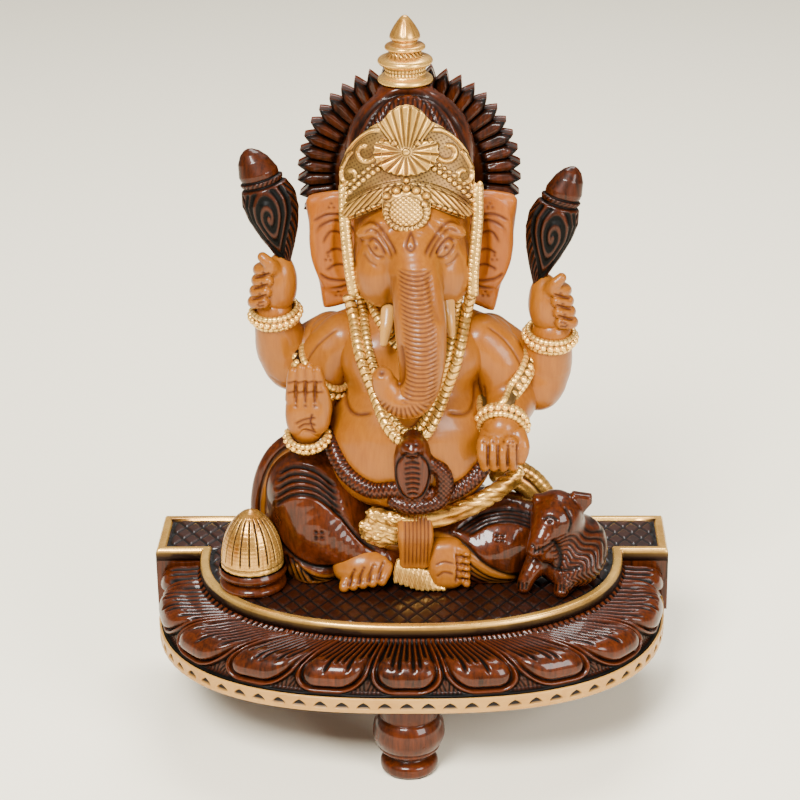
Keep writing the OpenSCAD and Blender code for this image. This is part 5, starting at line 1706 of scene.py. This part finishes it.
def smooth_path(path, rounds=6):
    out = path.copy()
    for _ in range(rounds):
        out[1:-1] = 0.5 * out[1:-1] + 0.25 * (out[:-2] + out[2:])
    return out


def make_necklaces():
    t = np.linspace(-1, 1, 560)
    parts = []
    for inward, r, link, lift in ((0.0, 1.9, 2.3, 0.9), (3.5, 1.5, 1.7, 0.9)):
        x = 0.8 + (18.8 - inward) * t
        z = 92.5 - (40.0 - 0.9 * inward) * (1 - np.abs(t) ** 2.1)
        path = smooth_path(body_line(x, z, lift), 80)

        # Painted shade in the cuts between the links and in the leaf marks.
        def links(s, a, link=link, r=r):
            bow = s + 0.5 * r * np.cos(a) ** 2
            g = groove(saw(bow, link), 0.45)
            leaf = groove(saw(bow + 0.5 * link, link), 0.35) * np.abs(np.sin(a))
            return -0.3 * r * g - 0.12 * leaf, np.clip(1.0 * g + 0.6 * leaf, 0, 1)
        parts.append(tube(path, r, 20, links, flat=0.8))
    strand_piece("long_garland", parts, "gold", ["necklace_garland"], cavity=1.5)
    parts = []
    for drop, r, link in ((14.0, 1.5, 1.7), (11.2, 0.9, 1.2)):
        x = 0.8 + 13.0 * t
        z = 92 - drop * (1 - np.abs(t) ** 1.6)
        path = smooth_path(body_line(x, z, 0.9), 80)

        # Painted shade in the cuts between the links.
        def links(s, a, link=link, r=r):
            g = groove(saw(s, link), 0.45)
            return -0.3 * r * g, 0.9 * g
        parts.append(tube(path, r, 14, links))
    strand_piece("short_choker", parts, "gold", ["necklace_choker"], cavity=1.5)


def make_snake():
    drape = through([(-25, 50), (-21.6, 43.4), (-17.5, 38.8), (-10.5, 35.8), (-4, 37), (3, 36), (12, 34.2),
                     (19, 37.2), (24, 42)], 240)
    path = smooth_path(body_line(drape[:, 0], drape[:, 1], 1.6), 30)

    # Scales cut in a diamond pattern, darkened with painted shade.
    def scales(s, a):
        g = np.maximum(groove(saw(s + 0.9 * a, 1.55), 0.5), groove(saw(s - 0.9 * a, 1.55), 0.5))
        return -0.28 * g, 0.85 * g
    strand_piece("snake_body", [tube(path, 2.8, 26, scales, flat=0.8)], "dark", ["snake_belt"], cavity=1.3)

    def hood(c):
        c.blob((1.8, -12.4, 43.6), (5.6, 2.9, 10.8))
        c.blob((1.8, -13.6, 52.8), (3.6, 3.4, 3.0), k=2)
        c.blob((1.8, -15.4, 52.0), (2.2, 2.2, 1.7), k=1.2)
        c.limb([(8.5, -10, 33), (11.4, -10, 37), (10.8, -10.6, 43), (7.6, -11, 46)], (2.9, 3.0, 2.7, 2.0),
               k=0.4)
        c.limb([(-4, -10.8, 33), (2, -12.0, 31.8), (8, -11.4, 32.6), (11, -10.2, 34)], (2.4, 2.6, 2.7, 2.4),
               k=0.4)
        c.blob((1.8, -10, 46), (5.8, 3, 11), k=2)

    def ribs(s):
        s.score([(1.8, 51), (-2.6, 48), (-3.6, 42.5), (-1.6, 36.5), (1.8, 34.4)], 0.9, 0.5, ref=-13)
        s.score([(1.8, 51), (6.2, 48), (7.2, 42.5), (5.2, 36.5), (1.8, 34.4)], 0.9, 0.5, ref=-13)
        for i in range(8):
            z = 36.4 + 1.75 * i
            w = 2.6 - 0.07 * (i - 4) ** 2
            s.score([(1.8 - w, z), (1.8, z + 0.5), (1.8 + w, z)], 0.75, 0.4, ref=-13, taper=0.05)
        q = s.flat(-11, LOOK)
        coil = (q[:, 0] > 7.4) | (q[:, 1] < 34.6)
        g = np.maximum(groove(saw(q[:, 0] + q[:, 1], 1.6), 0.5),
                       groove(saw(q[:, 0] - q[:, 1], 1.6), 0.5)) * coil
        # Painted shade in the crossed cuts on the coils.
        s.press(-0.25 * g, 0.8 * g)
        s.dots([(0.4, 53.6), (3.2, 53.6)], 0.9, 0.4, ref=-14)
        s.score([(-0.8, 51.6), (1.8, 50.8), (4.4, 51.6)], 0.7, 0.35, ref=-15)

    limb_piece("raised_cobra", "cobra_hood", (-11, -19, 25), (18, -2, 59), hood, ribs, paint="dark")


def make_waist():
    def roll(c):
        x = np.linspace(-11, 34, 12)
        path = np.stack([x, -6.6 + 0.0105 * x ** 2, 25.2 + 0.0085 * x ** 2], 1)
        c.limb(path, np.full(12, 2.1), k=0.5, steps=24)
        c.limb(path[3:] + np.array([0, -0.4, -2.3]), np.full(9, 1.5), k=0.8, steps=20)
        c.blob((-8.6, -3.6, 20.0), (6.8, 3.8, 6.0), k=2)
        for i in range(7):
            c.blob((-13.0 + 1.8 * i, -5.6 + 0.5 * (i % 2), 21.8 - 1.9 * (i % 3)), (2.8, 1.4, 1.5), k=1.4,
                   turn=(0, 20, 0))

    def crumple(s):
        q = s.flat(-7, LOOK)
        left = 1 - step(q[:, 0], -4, -1)
        crease = np.abs(wobble(s.p, 1.1)) * left
        # Painted shade in the low valleys of the crumples and folds.
        s.press(0.7 * crease - 0.3 * left, 0.6 * (1 - step(crease, 0.05, 0.25)) * left)
        fold = np.abs(wobble(s.p * (0.35, 1, 1), 1.5)) * (1 - left)
        s.press(0.5 * fold, 0.5 * (1 - step(fold, 0.04, 0.2)) * (1 - left))

    limb_piece("gold_waist_cloth", "waist_band", (-18, -12, 10), (38, 11, 40), roll, crumple, paint="gold")

    def sash(c):
        for i in range(-3, 4):
            c.limb([(2.0 + 1.15 * i, -7.0, 25.5), (2.3 + 1.25 * i, -8.4, 20), (2.0 + 1.05 * i, -7.4, 13),
                    (1.8 + 1.1 * i, -6.6, 9.5)], (1.9, 1.9, 1.7, 1.5), k=0.8, steps=10)

    def pleats(s):
        for i in range(-3, 4):
            x0 = 2.6 + 1.2 * i
            s.score([(x0 - 0.1, 29), (x0 + 0.2, 21), (x0 - 0.2, 9)], 0.7, 0.5, ref=-9)

    limb_piece("pleated_sash", "front_sash", (-6, -13, 5), (10, -2, 35), sash, pleats)

    def tassels(c):
        for i in range(10):
            x0 = -3.6 + 1.45 * i
            drop = 8.6 - 0.62 * i
            c.limb([(x0 + 0.6, -6.2, drop + 1.6), (x0, -7.2, drop - 0.8),
                    (x0 - 0.5 + 0.22 * i, -8.4, max(drop - 4.4, 1.5))],
                   (1.0, 1.15, 0.85), k=0.25, steps=7)

    def threads(s):
        q = s.flat(-8, LOOK)
        g = groove(saw(q[:, 0] + 0.3 * q[:, 1], 0.75), 0.35)
        # Painted shade in the thread cuts.
        s.press(-0.15 * g, 0.6 * g)

    limb_piece("gold_tassels", "sash_tassels", (-8, -12, 0.3), (16, -2, 14), tassels, threads, paint="gold")


# ---------------------------------------------------------------- figure: legs, cloth and feet


def fold_set(s, first, last, count, width, depth, ref, slant=0.46, dark=1.0, taper=0.1):
    """A family of cuts that goes from one line to another."""
    first, last = np.array(first, float), np.array(last, float)
    for i in range(count):
        f = i / max(count - 1, 1)
        s.score(first + (last - first) * f, width, depth, ref, slant, taper, dark)


def make_legs():
    def right(c):
        c.limb([(-14, 15, 15), (-25, 11, 24), (-31.5, 9, 30.0)], (12.6, 13.6, 13), steps=8)
        c.limb([(-32, 7.6, 27.0), (-28, 3.6, 19), (-19, 1.4, 12.2), (-8, 0.8, 8.4)], (12.6, 11.0, 8.0, 5.6),
               k=4, steps=14)
        c.limb([(-33, 5.6, 15), (-31, 3.4, 5), (-27, 2.6, 4)], (8.6, 7.6, 5), k=3, steps=8)
        c.limb([(-39, 9, 20), (-38, 8, 4)], (7, 6), k=4)
        c.limb([(-16, 2, 7), (-7, 0.6, 6)], (6.5, 5.2), k=3)

    def right_folds(s):
        # Folds that arch over the knee and run down beside the belly.
        fold_set(s, [(-41.5, 38.5), (-36, 41.5), (-29, 40), (-22, 34)],
                 [(-42.5, 27.5), (-36, 31.5), (-28, 30.6), (-20, 23.5)], 5, 1.5, 1.0, -3)
        # The smooth lobe of the shin, with a bright edge and a deep cut beside it.
        s.score([(-22, 26.6), (-18.5, 20), (-13.5, 13.4)], 1.3, -0.5, -5)
        s.score([(-23.8, 29.4), (-19.4, 22.6), (-14.6, 16.6), (-9, 12.4)], 1.3, 0.8, -5)
        s.score([(-44, 24), (-41, 15.6), (-34.5, 9.4), (-26, 6.8), (-16, 8)], 1.6, 0.9, -5)
        # Folds of the hem that sweep to the foot, and folds that hang to the deck.
        fold_set(s, [(-39.5, 12.4), (-32, 5.2), (-25, 3.2), (-17, 5.2), (-9, 4.4)],
                 [(-31, 2.6), (-28, -0.4), (-25, -1.6), (-20, -1.4), (-14, -1)], 5, 1.0, 0.6, -6)
        fold_set(s, [(-44.6, 16), (-43.4, 8), (-42.6, -1)], [(-36.0, 9.0), (-33.6, 3), (-30.6, -3)], 6, 1.1,
                 0.7, -4)
        for a in range(4):
            t = math.radians(45 + 90 * a)
            s.dots([(-27.8 + 1.3 * math.cos(t), 18.6 + 1.3 * math.sin(t))], 1.3, 0.6, -5, 0.46)
        q = s.flat(-6, 0.46)
        hem, _ = line_distance(q, through(np.array([(-36, 6.5), (-28, 2.4), (-20, 3.4), (-9, 6.0)]), 24))
        s.gild_and_highlight((1 - step(hem, 2.0, 3.2)) * step(-s.p[:, 1], -3, 0))

    limb_piece("right_draped_leg", "right_leg", (-49, -11, 0.2), (6, 32, 46), right, right_folds,
               paint="dark", cavity=1.2)

    def left(c):
        c.limb([(13, 15, 13), (26, 11, 14.6), (35, 9.5, 13.6)], (11.8, 12.0, 10.6), steps=8)
        c.limb([(35.5, 8, 12), (26, 3.2, 10.6), (14, 2, 8.4)], (9.6, 9.2, 7.4), k=4, steps=12)
        c.limb([(30, 1.6, 5), (20, 0.4, 4.6)], (6, 5.2), k=3)
        c.limb([(16, 3, 15.5), (9, 3, 15)], (5.6, 4.6), k=3)

    def left_folds(s):
        fold_set(s, [(14, 18.5), (22, 24.5), (32, 26.5), (42, 23.5)],
                 [(18, 17.0), (25, 21.6), (33, 22.4), (42, 18.5)], 4, 1.4, 0.7, -3)
        s.score([(12, 19), (18, 15), (24, 8.4), (31, 4.6), (38, 4.2)], 1.5, 0.7, -5)
        fold_set(s, [(15.6, 13.5), (20.6, 7.8), (27, 3.8), (36, 3.2)],
                 [(14.0, 6.0), (18.4, 2.2), (24, 0.2), (30, -0.6)], 5, 1.0, 0.55, -7)
        for a in range(4):
            t = math.radians(45 + 90 * a)
            s.dots([(28.6 + 1.2 * math.cos(t), 17.6 + 1.2 * math.sin(t))], 1.2, 0.6, -5, 0.46)
        q = s.flat(-6, 0.46)
        hem, _ = line_distance(q, through(np.array([(9, 17.4), (15, 15.0), (20, 9.0), (26, 4.6),
                                                    (31, 3.4)]), 24))
        s.gild_and_highlight((1 - step(hem, 1.9, 3.2)) * step(-s.p[:, 1], -4, 0))

    limb_piece("left_draped_leg", "left_leg", (-4, -11, 0.2), (49, 32, 33), left, left_folds, paint="dark",
               cavity=1.2)

    def seat(c):
        c.blob((0.5, 22, 10), (31, 15.5, 19))
        c.blob((-15, 15, 11), (15, 14, 15), k=4)
        c.blob((16, 15, 10), (15, 14, 14), k=4)
        c.limb([(-24, 24, 6), (24, 24, 6)], (7, 7), k=4)
        c.blob((-3.5, 4.5, 15.5), (11.5, 8, 9.5), k=4)

    def seat_folds(s):
        q = s.flat(-3, 0.46)
        fold_set(s, [(-13, 23.4), (-7, 20.4), (0, 20)], [(-11, 18), (-6, 15.5), (0, 15)], 4, 1.0, 0.5, -4)
        s.gild_and_highlight((1 - step(np.abs(q[:, 0] + 6.6), 5.4, 7.0)) * step(-s.p[:, 1], -3, 0) * step(q[:, 1], 12, 14))
        back = step(s.p[:, 1], 24, 27)
        g = groove(saw(s.p[:, 2] + 0.012 * s.p[:, 0] ** 2, 4.2), 1.1) * back
        # Painted shade in the grooves across the back.
        s.press(-0.5 * g, 0.8 * g)

    limb_piece("draped_seat", "seat_block", (-36, -6, 0.1), (37, 39, 33), seat, seat_folds, paint="dark")


def make_cloth_flaps():
    """Cloth ends that curve up behind the knees: the left one gold, the right one dark with grooves darkened
    by painted shade and a thin gilt line that is a painted highlight.
    """
    def right(c):
        t = np.radians(np.linspace(100, 208, 12))
        c.limb(np.stack([-34 + 14.0 * np.cos(t), 10.6 + 0 * t, 20 + 24.4 * np.sin(t)], 1), np.full(12, 2.7),
               k=0.5, steps=30)
        c.limb(np.stack([-34 + 11.0 * np.cos(t[1:]), 10.4 + 0 * t[1:], 20 + 21.2 * np.sin(t[1:])], 1),
               np.full(11, 2.6), k=1.2, steps=28)

    def right_lines(s):
        q = s.flat(8, 0.0)
        r = np.hypot((q[:, 0] + 34) / 14.0, (q[:, 1] - 20) / 24.4)
        # Painted shade in the groove along the outer edge.
        g = groove((r - 0.985) * 15, 0.9)
        s.press(-0.5 * g, 0.9 * g)
        # Painted highlight: a thin gilt line along the inner edge stands in for the light caught there.
        s.gild_and_highlight(groove((r - 0.90) * 15, 1.6))

    def left(c):
        t = np.radians(np.linspace(78, -16, 12))
        c.limb(np.stack([25 + 20.0 * np.cos(t), 15 + 0 * t, 17 + 17.6 * np.sin(t)], 1), np.full(12, 2.7),
               k=0.5, steps=30)
        c.limb(np.stack([25 + 15.6 * np.cos(t), 15 + 0 * t, 17 + 13.6 * np.sin(t)], 1), np.full(12, 3.2),
               k=1.6, steps=28)

    def left_lines(s):
        q = s.flat(12, 0.0)
        r = np.hypot((q[:, 0] - 25) / 20.0, (q[:, 1] - 17) / 17.6)
        angle = np.arctan2(q[:, 1] - 17, q[:, 0] - 25)
        g = groove((r - 0.93) * 18, 0.9)
        hatch = groove(saw(angle, 0.11) * 19, 0.6) * step(r, 0.94, 0.97)
        # Painted shade in the groove and the hatching.
        s.press(-0.5 * g - 0.15 * hatch, np.maximum(0.9 * g, 0.45 * hatch))

    limb_piece("right_cloth_end", "right_cloth_flap", (-54, 5, 3), (-28, 16, 49), right, right_lines,
               paint="dark")
    limb_piece("left_cloth_end", "left_cloth_flap", (22, 8, 7), (50, 21, 40), left, left_lines, paint="gold")


def make_bare_feet():
    def right(c):
        c.limb([(-19, -0.6, 7), (-14.5, -2.0, 8.2), (-10, -1.0, 7.6)], (5.2, 5.4, 5.0), steps=8)
        c.blob((-14.3, -4.4, 6.0), (8.9, 4.6, 5.4), k=3)
        for i in range(5):
            x0 = -20.4 + 3.0 * i
            z0 = 2.3 + 0.55 * i
            c.limb([(x0 + 1.8, -5.4, z0 + 3.2), (x0 + 0.4, -8.0, z0 + 1.0), (x0, -8.9, z0)],
                   (1.9, 1.8, 1.55), k=0.4, steps=7)

    def right_lines(s):
        for i in range(4):
            x0, z0 = -18.7 + 3.05 * i, 3.6 + 0.75 * i
            s.score([(x0 + 1.6, z0 + 4.2), (x0 + 0.6, z0 + 1.6), (x0 - 0.2, z0 - 1.6)], 0.9, 0.6, -8)
            s.dots([(x0 + 1.7, z0 + 4.4)], 1.1, 0.45, -8)
        for i in range(5):
            s.dots([(-20.4 + 3.0 * i, 3.4 + 0.55 * i)], 0.8, 0.25, -9)

    limb_piece("right_foot_bare", "right_bare_foot", (-27, -12.5, 0.4), (-3, 6, 16), right, right_lines,
               gap=HAND_FINE)

    def left(c):
        c.limb([(9.4, -3.0, 12.4), (9.8, -4.6, 8), (10.2, -5.4, 4.4)], (4.2, 4.3, 3.7), steps=8)
        c.limb([(13.4, -3.0, 12.8), (13.8, -4.8, 8), (13.6, -5.6, 4.2)], (3.9, 4.0, 3.5), k=2, steps=8)
        for i in range(5):
            z0 = 3.0 + 2.55 * i
            c.limb([(14.8, -4.2, z0 + 0.6), (17.6, -6.0, z0), (18.1, -7.2, z0 - 0.2)], (1.7, 1.55, 1.25),
                   k=0.4, steps=7)

    def left_lines(s):
        for i in range(4):
            z0 = 4.3 + 2.55 * i
            s.score([(14.6, z0 + 0.4), (16.6, z0), (19.2, z0 - 0.2)], 0.85, 0.55, -7)
        s.score([(8.2, 9.5), (11, 10.8), (14.4, 10.0)], 0.8, 0.3, -8)
        s.score([(8.6, 5.4), (11, 7.2), (14.2, 6.4)], 0.8, 0.3, -8)
        s.score([(14.9, 14.2), (15.4, 9), (14.8, 3)], 0.9, 0.4, -8)

    limb_piece("left_foot_sole", "left_bare_foot", (3, -12, 0.4), (22, 4, 18.5), left, left_lines,
               gap=HAND_FINE)


def make_mouse():
    def body(c):
        c.blob((51.5, 4, 10.4), (11.4, 10.4, 11.0))
        c.blob((51, -2, 7.4), (9.6, 9, 7.6), k=4)
        c.limb([(48, 0, 16), (46.4, -1.4, 22)], (8.0, 7.4), k=4)
        c.blob((46.2, -1.6, 24.6), (7.4, 8.0, 6.6), k=3, turn=(26, 0, 14))
        c.limb([(44, -5, 22.8), (41.0, -9.4, 18.8), (39.0, -11.2, 16.6)], (5.4, 3.8, 2.4), k=2.5, steps=8)
        c.slab([(40.6, 23), (38.4, 29.2), (39.6, 30.6), (45.2, 29.6), (46.8, 26), (45, 22)], -3.0, 1.4, k=1.4)
        c.slab([(48.6, 25), (51.2, 31.4), (57.2, 30.4), (57.4, 28.0), (54.6, 24.6)], -2.4, 1.6, k=1.2)
        c.limb([(42, -2, 10), (38, -6.6, 6.4), (36, -8.6, 2.6)], (4.6, 3.0, 2.3), k=2, steps=8)
        c.limb([(48, -6, 8), (48.6, -9.6, 5), (47.6, -11.2, 2.4)], (4.4, 3.2, 2.4), k=2, steps=8)
        c.limb([(46, -4, 13.5), (42.4, -8.6, 14), (40.8, -9.8, 15.6)], (4.0, 2.8, 2.0), k=1.5, steps=8)

    def fur(s):
        p = s.p
        rump = step(p[:, 0] + 0.25 * p[:, 2], 47, 50) * (1 - step(p[:, 2], 19, 22))
        a = np.arctan2(p[:, 2] - 6, p[:, 0] - 46)
        r = np.hypot(p[:, 0] - 46, p[:, 2] - 6)
        lines = groove(saw(r + 0.8 * np.sin(a * 9.0) + 1.5 * a, 1.55), 0.75)
        # Fur lines on the rump, darkened with painted shade.
        s.press(-0.35 * lines * rump, 0.95 * lines * rump)
        s.score([(41.6, 25.4), (44, 26.6), (46.6, 25.2)], 1.0, 0.45, -8)
        s.dots([(44.0, 25.0)], 1.5, 0.5, -8)
        s.dots([(38.6, 18.6)], 1.1, 0.45, -12)
        s.score([(38.4, 15.4), (41.6, 16.4), (45.6, 19.0)], 1.0, 0.6, -10)
        s.score([(48.0, 29.4), (50.5, 24.4), (49.6, 19.6)], 1.0, 0.4, -6)
        for x0, z0 in ((35.6, 3.2), (47.2, 2.8), (40.6, 16)):
            for i in (-1, 0, 1):
                s.score([(x0 + 1.3 * i, z0 + 1.2), (x0 + 1.3 * i - 0.2, z0 - 1.6)], 0.7, 0.4, -9,
                        smooth=False)
        s.score([(44.6, 19), (47.5, 13), (46, 7)], 1.4, 0.6, -7)
        s.score([(42, 12), (45, 9), (50, 8.4), (55, 10)], 1.2, 0.5, -8)
        tail = [(58, 9, 6), (52, 14.6, 3.4), (44, 16, 2.4), (38, 13, 2.0)]
        s.score3(tail, 1.0, 0.3)

    c = Clay((31, -16, 0.4), (66, 18, 37))
    body(c)
    c.limb([(58, 9.5, 4.5), (53, 15.2, 3.0), (46, 15.6, 2.6)], (2.2, 1.8, 1.4), k=1.0, steps=8)
    s = Skin(c)
    fur(s)
    s.make("mouse_vahana", "dark", ["mouse"], cavity=1.1)


# ---------------------------------------------------------------- scene


def make_stage():
    mesh = bpy.data.meshes.new("floor")
    size = 4.0
    mesh.from_pydata([(-size, -size, 0), (size, -size, 0), (size, size, 0), (-size, size, 0)], [],
                     [(0, 1, 2, 3)])
    floor = bpy.data.objects.new("floor", mesh)
    bpy.context.scene.collection.objects.link(floor)
    m = Nodes("floor_paint")
    m.bsdf.inputs["Base Color"].default_value = linear("floor")
    m.bsdf.inputs["Roughness"].default_value = 0.8
    mesh.materials.append(m.mat)


def area_light(name, place, target, size, power, colour=(1, 1, 1)):
    data = bpy.data.lights.new(name, "AREA")
    data.shape = "RECTANGLE"
    data.size, data.size_y = size
    data.energy = power
    data.color = colour
    lamp = bpy.data.objects.new(name, data)
    lamp.location = place
    lamp.rotation_euler = (Vector(target) - Vector(place)).to_track_quat("-Z", "Y").to_euler()
    bpy.context.scene.collection.objects.link(lamp)


def make_lights():
    world = bpy.data.worlds.new("soft_room")
    world.use_nodes = True
    world.node_tree.nodes["Background"].inputs["Color"].default_value = (1.0, 0.97, 0.92, 1)
    world.node_tree.nodes["Background"].inputs["Strength"].default_value = 0.3
    bpy.context.scene.world = world
    aim = (0, 0, 0.11)
    area_light("key", (-0.30, -0.85, 1.05), aim, (0.45, 0.45), 46.0, (1.0, 0.98, 0.95))
    area_light("fill", (0.75, -0.75, 0.55), aim, (0.5, 0.5), 15.0, (1.0, 0.97, 0.94))
    area_light("top", (0.1, 0.5, 1.1), aim, (0.7, 0.5), 18.0)


def make_camera():
    """Camera fitted to the plinth: 23 degrees down, 2 degrees to the right, rolled by under a degree."""
    target = Vector((-2.33, 5.0, 110.3)) * MM
    distance, pitch, turn, roll = 0.743, math.radians(23.1), math.radians(1.94), math.radians(-0.89)
    out = Vector((math.sin(turn) * math.cos(pitch), -math.cos(turn) * math.cos(pitch), math.sin(pitch)))
    right = (-out).cross(Vector((0, 0, 1))).normalized()
    up = right.cross(-out)
    side = math.cos(roll) * right + math.sin(roll) * up
    top = -math.sin(roll) * right + math.cos(roll) * up
    data = bpy.data.cameras.new("camera")
    data.sensor_width = 36.0
    data.lens = 108.0
    camera = bpy.data.objects.new("camera", data)
    place = Matrix((side, top, out)).transposed().to_4x4()
    place.translation = target + out * distance
    camera.matrix_world = place
    bpy.context.scene.collection.objects.link(camera)
    bpy.context.scene.camera = camera


make_camera()
make_stage()
make_lights()
make_petal_ring()
make_rim_band()
make_deck_trim()
make_deck()
make_feet()
make_offering()
make_finial()
make_head()
make_tusks()
make_ears()
make_crown_plate()
make_crown_cap()
make_bead_strands()
make_halo()
make_torso()
make_arms()
make_hands()
make_bracelets()
make_conch("right_conch", "right_conch_carved", (-47.5, 15, 138.5), (-36.4, 13.4, 100.8), 8.5, -1)
make_conch("left_conch", "left_conch_carved", (51.1, 15, 132.4), (39.4, 13.4, 93.6), 7.8, 1)
make_necklaces()
make_snake()
make_waist()
make_legs()
make_cloth_flaps()
make_bare_feet()
make_mouse()

for node, paint in CARRIED_OVER.items():
    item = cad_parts[node]
    item.data.materials.clear()
    item.data.materials.append(PAINT[paint])
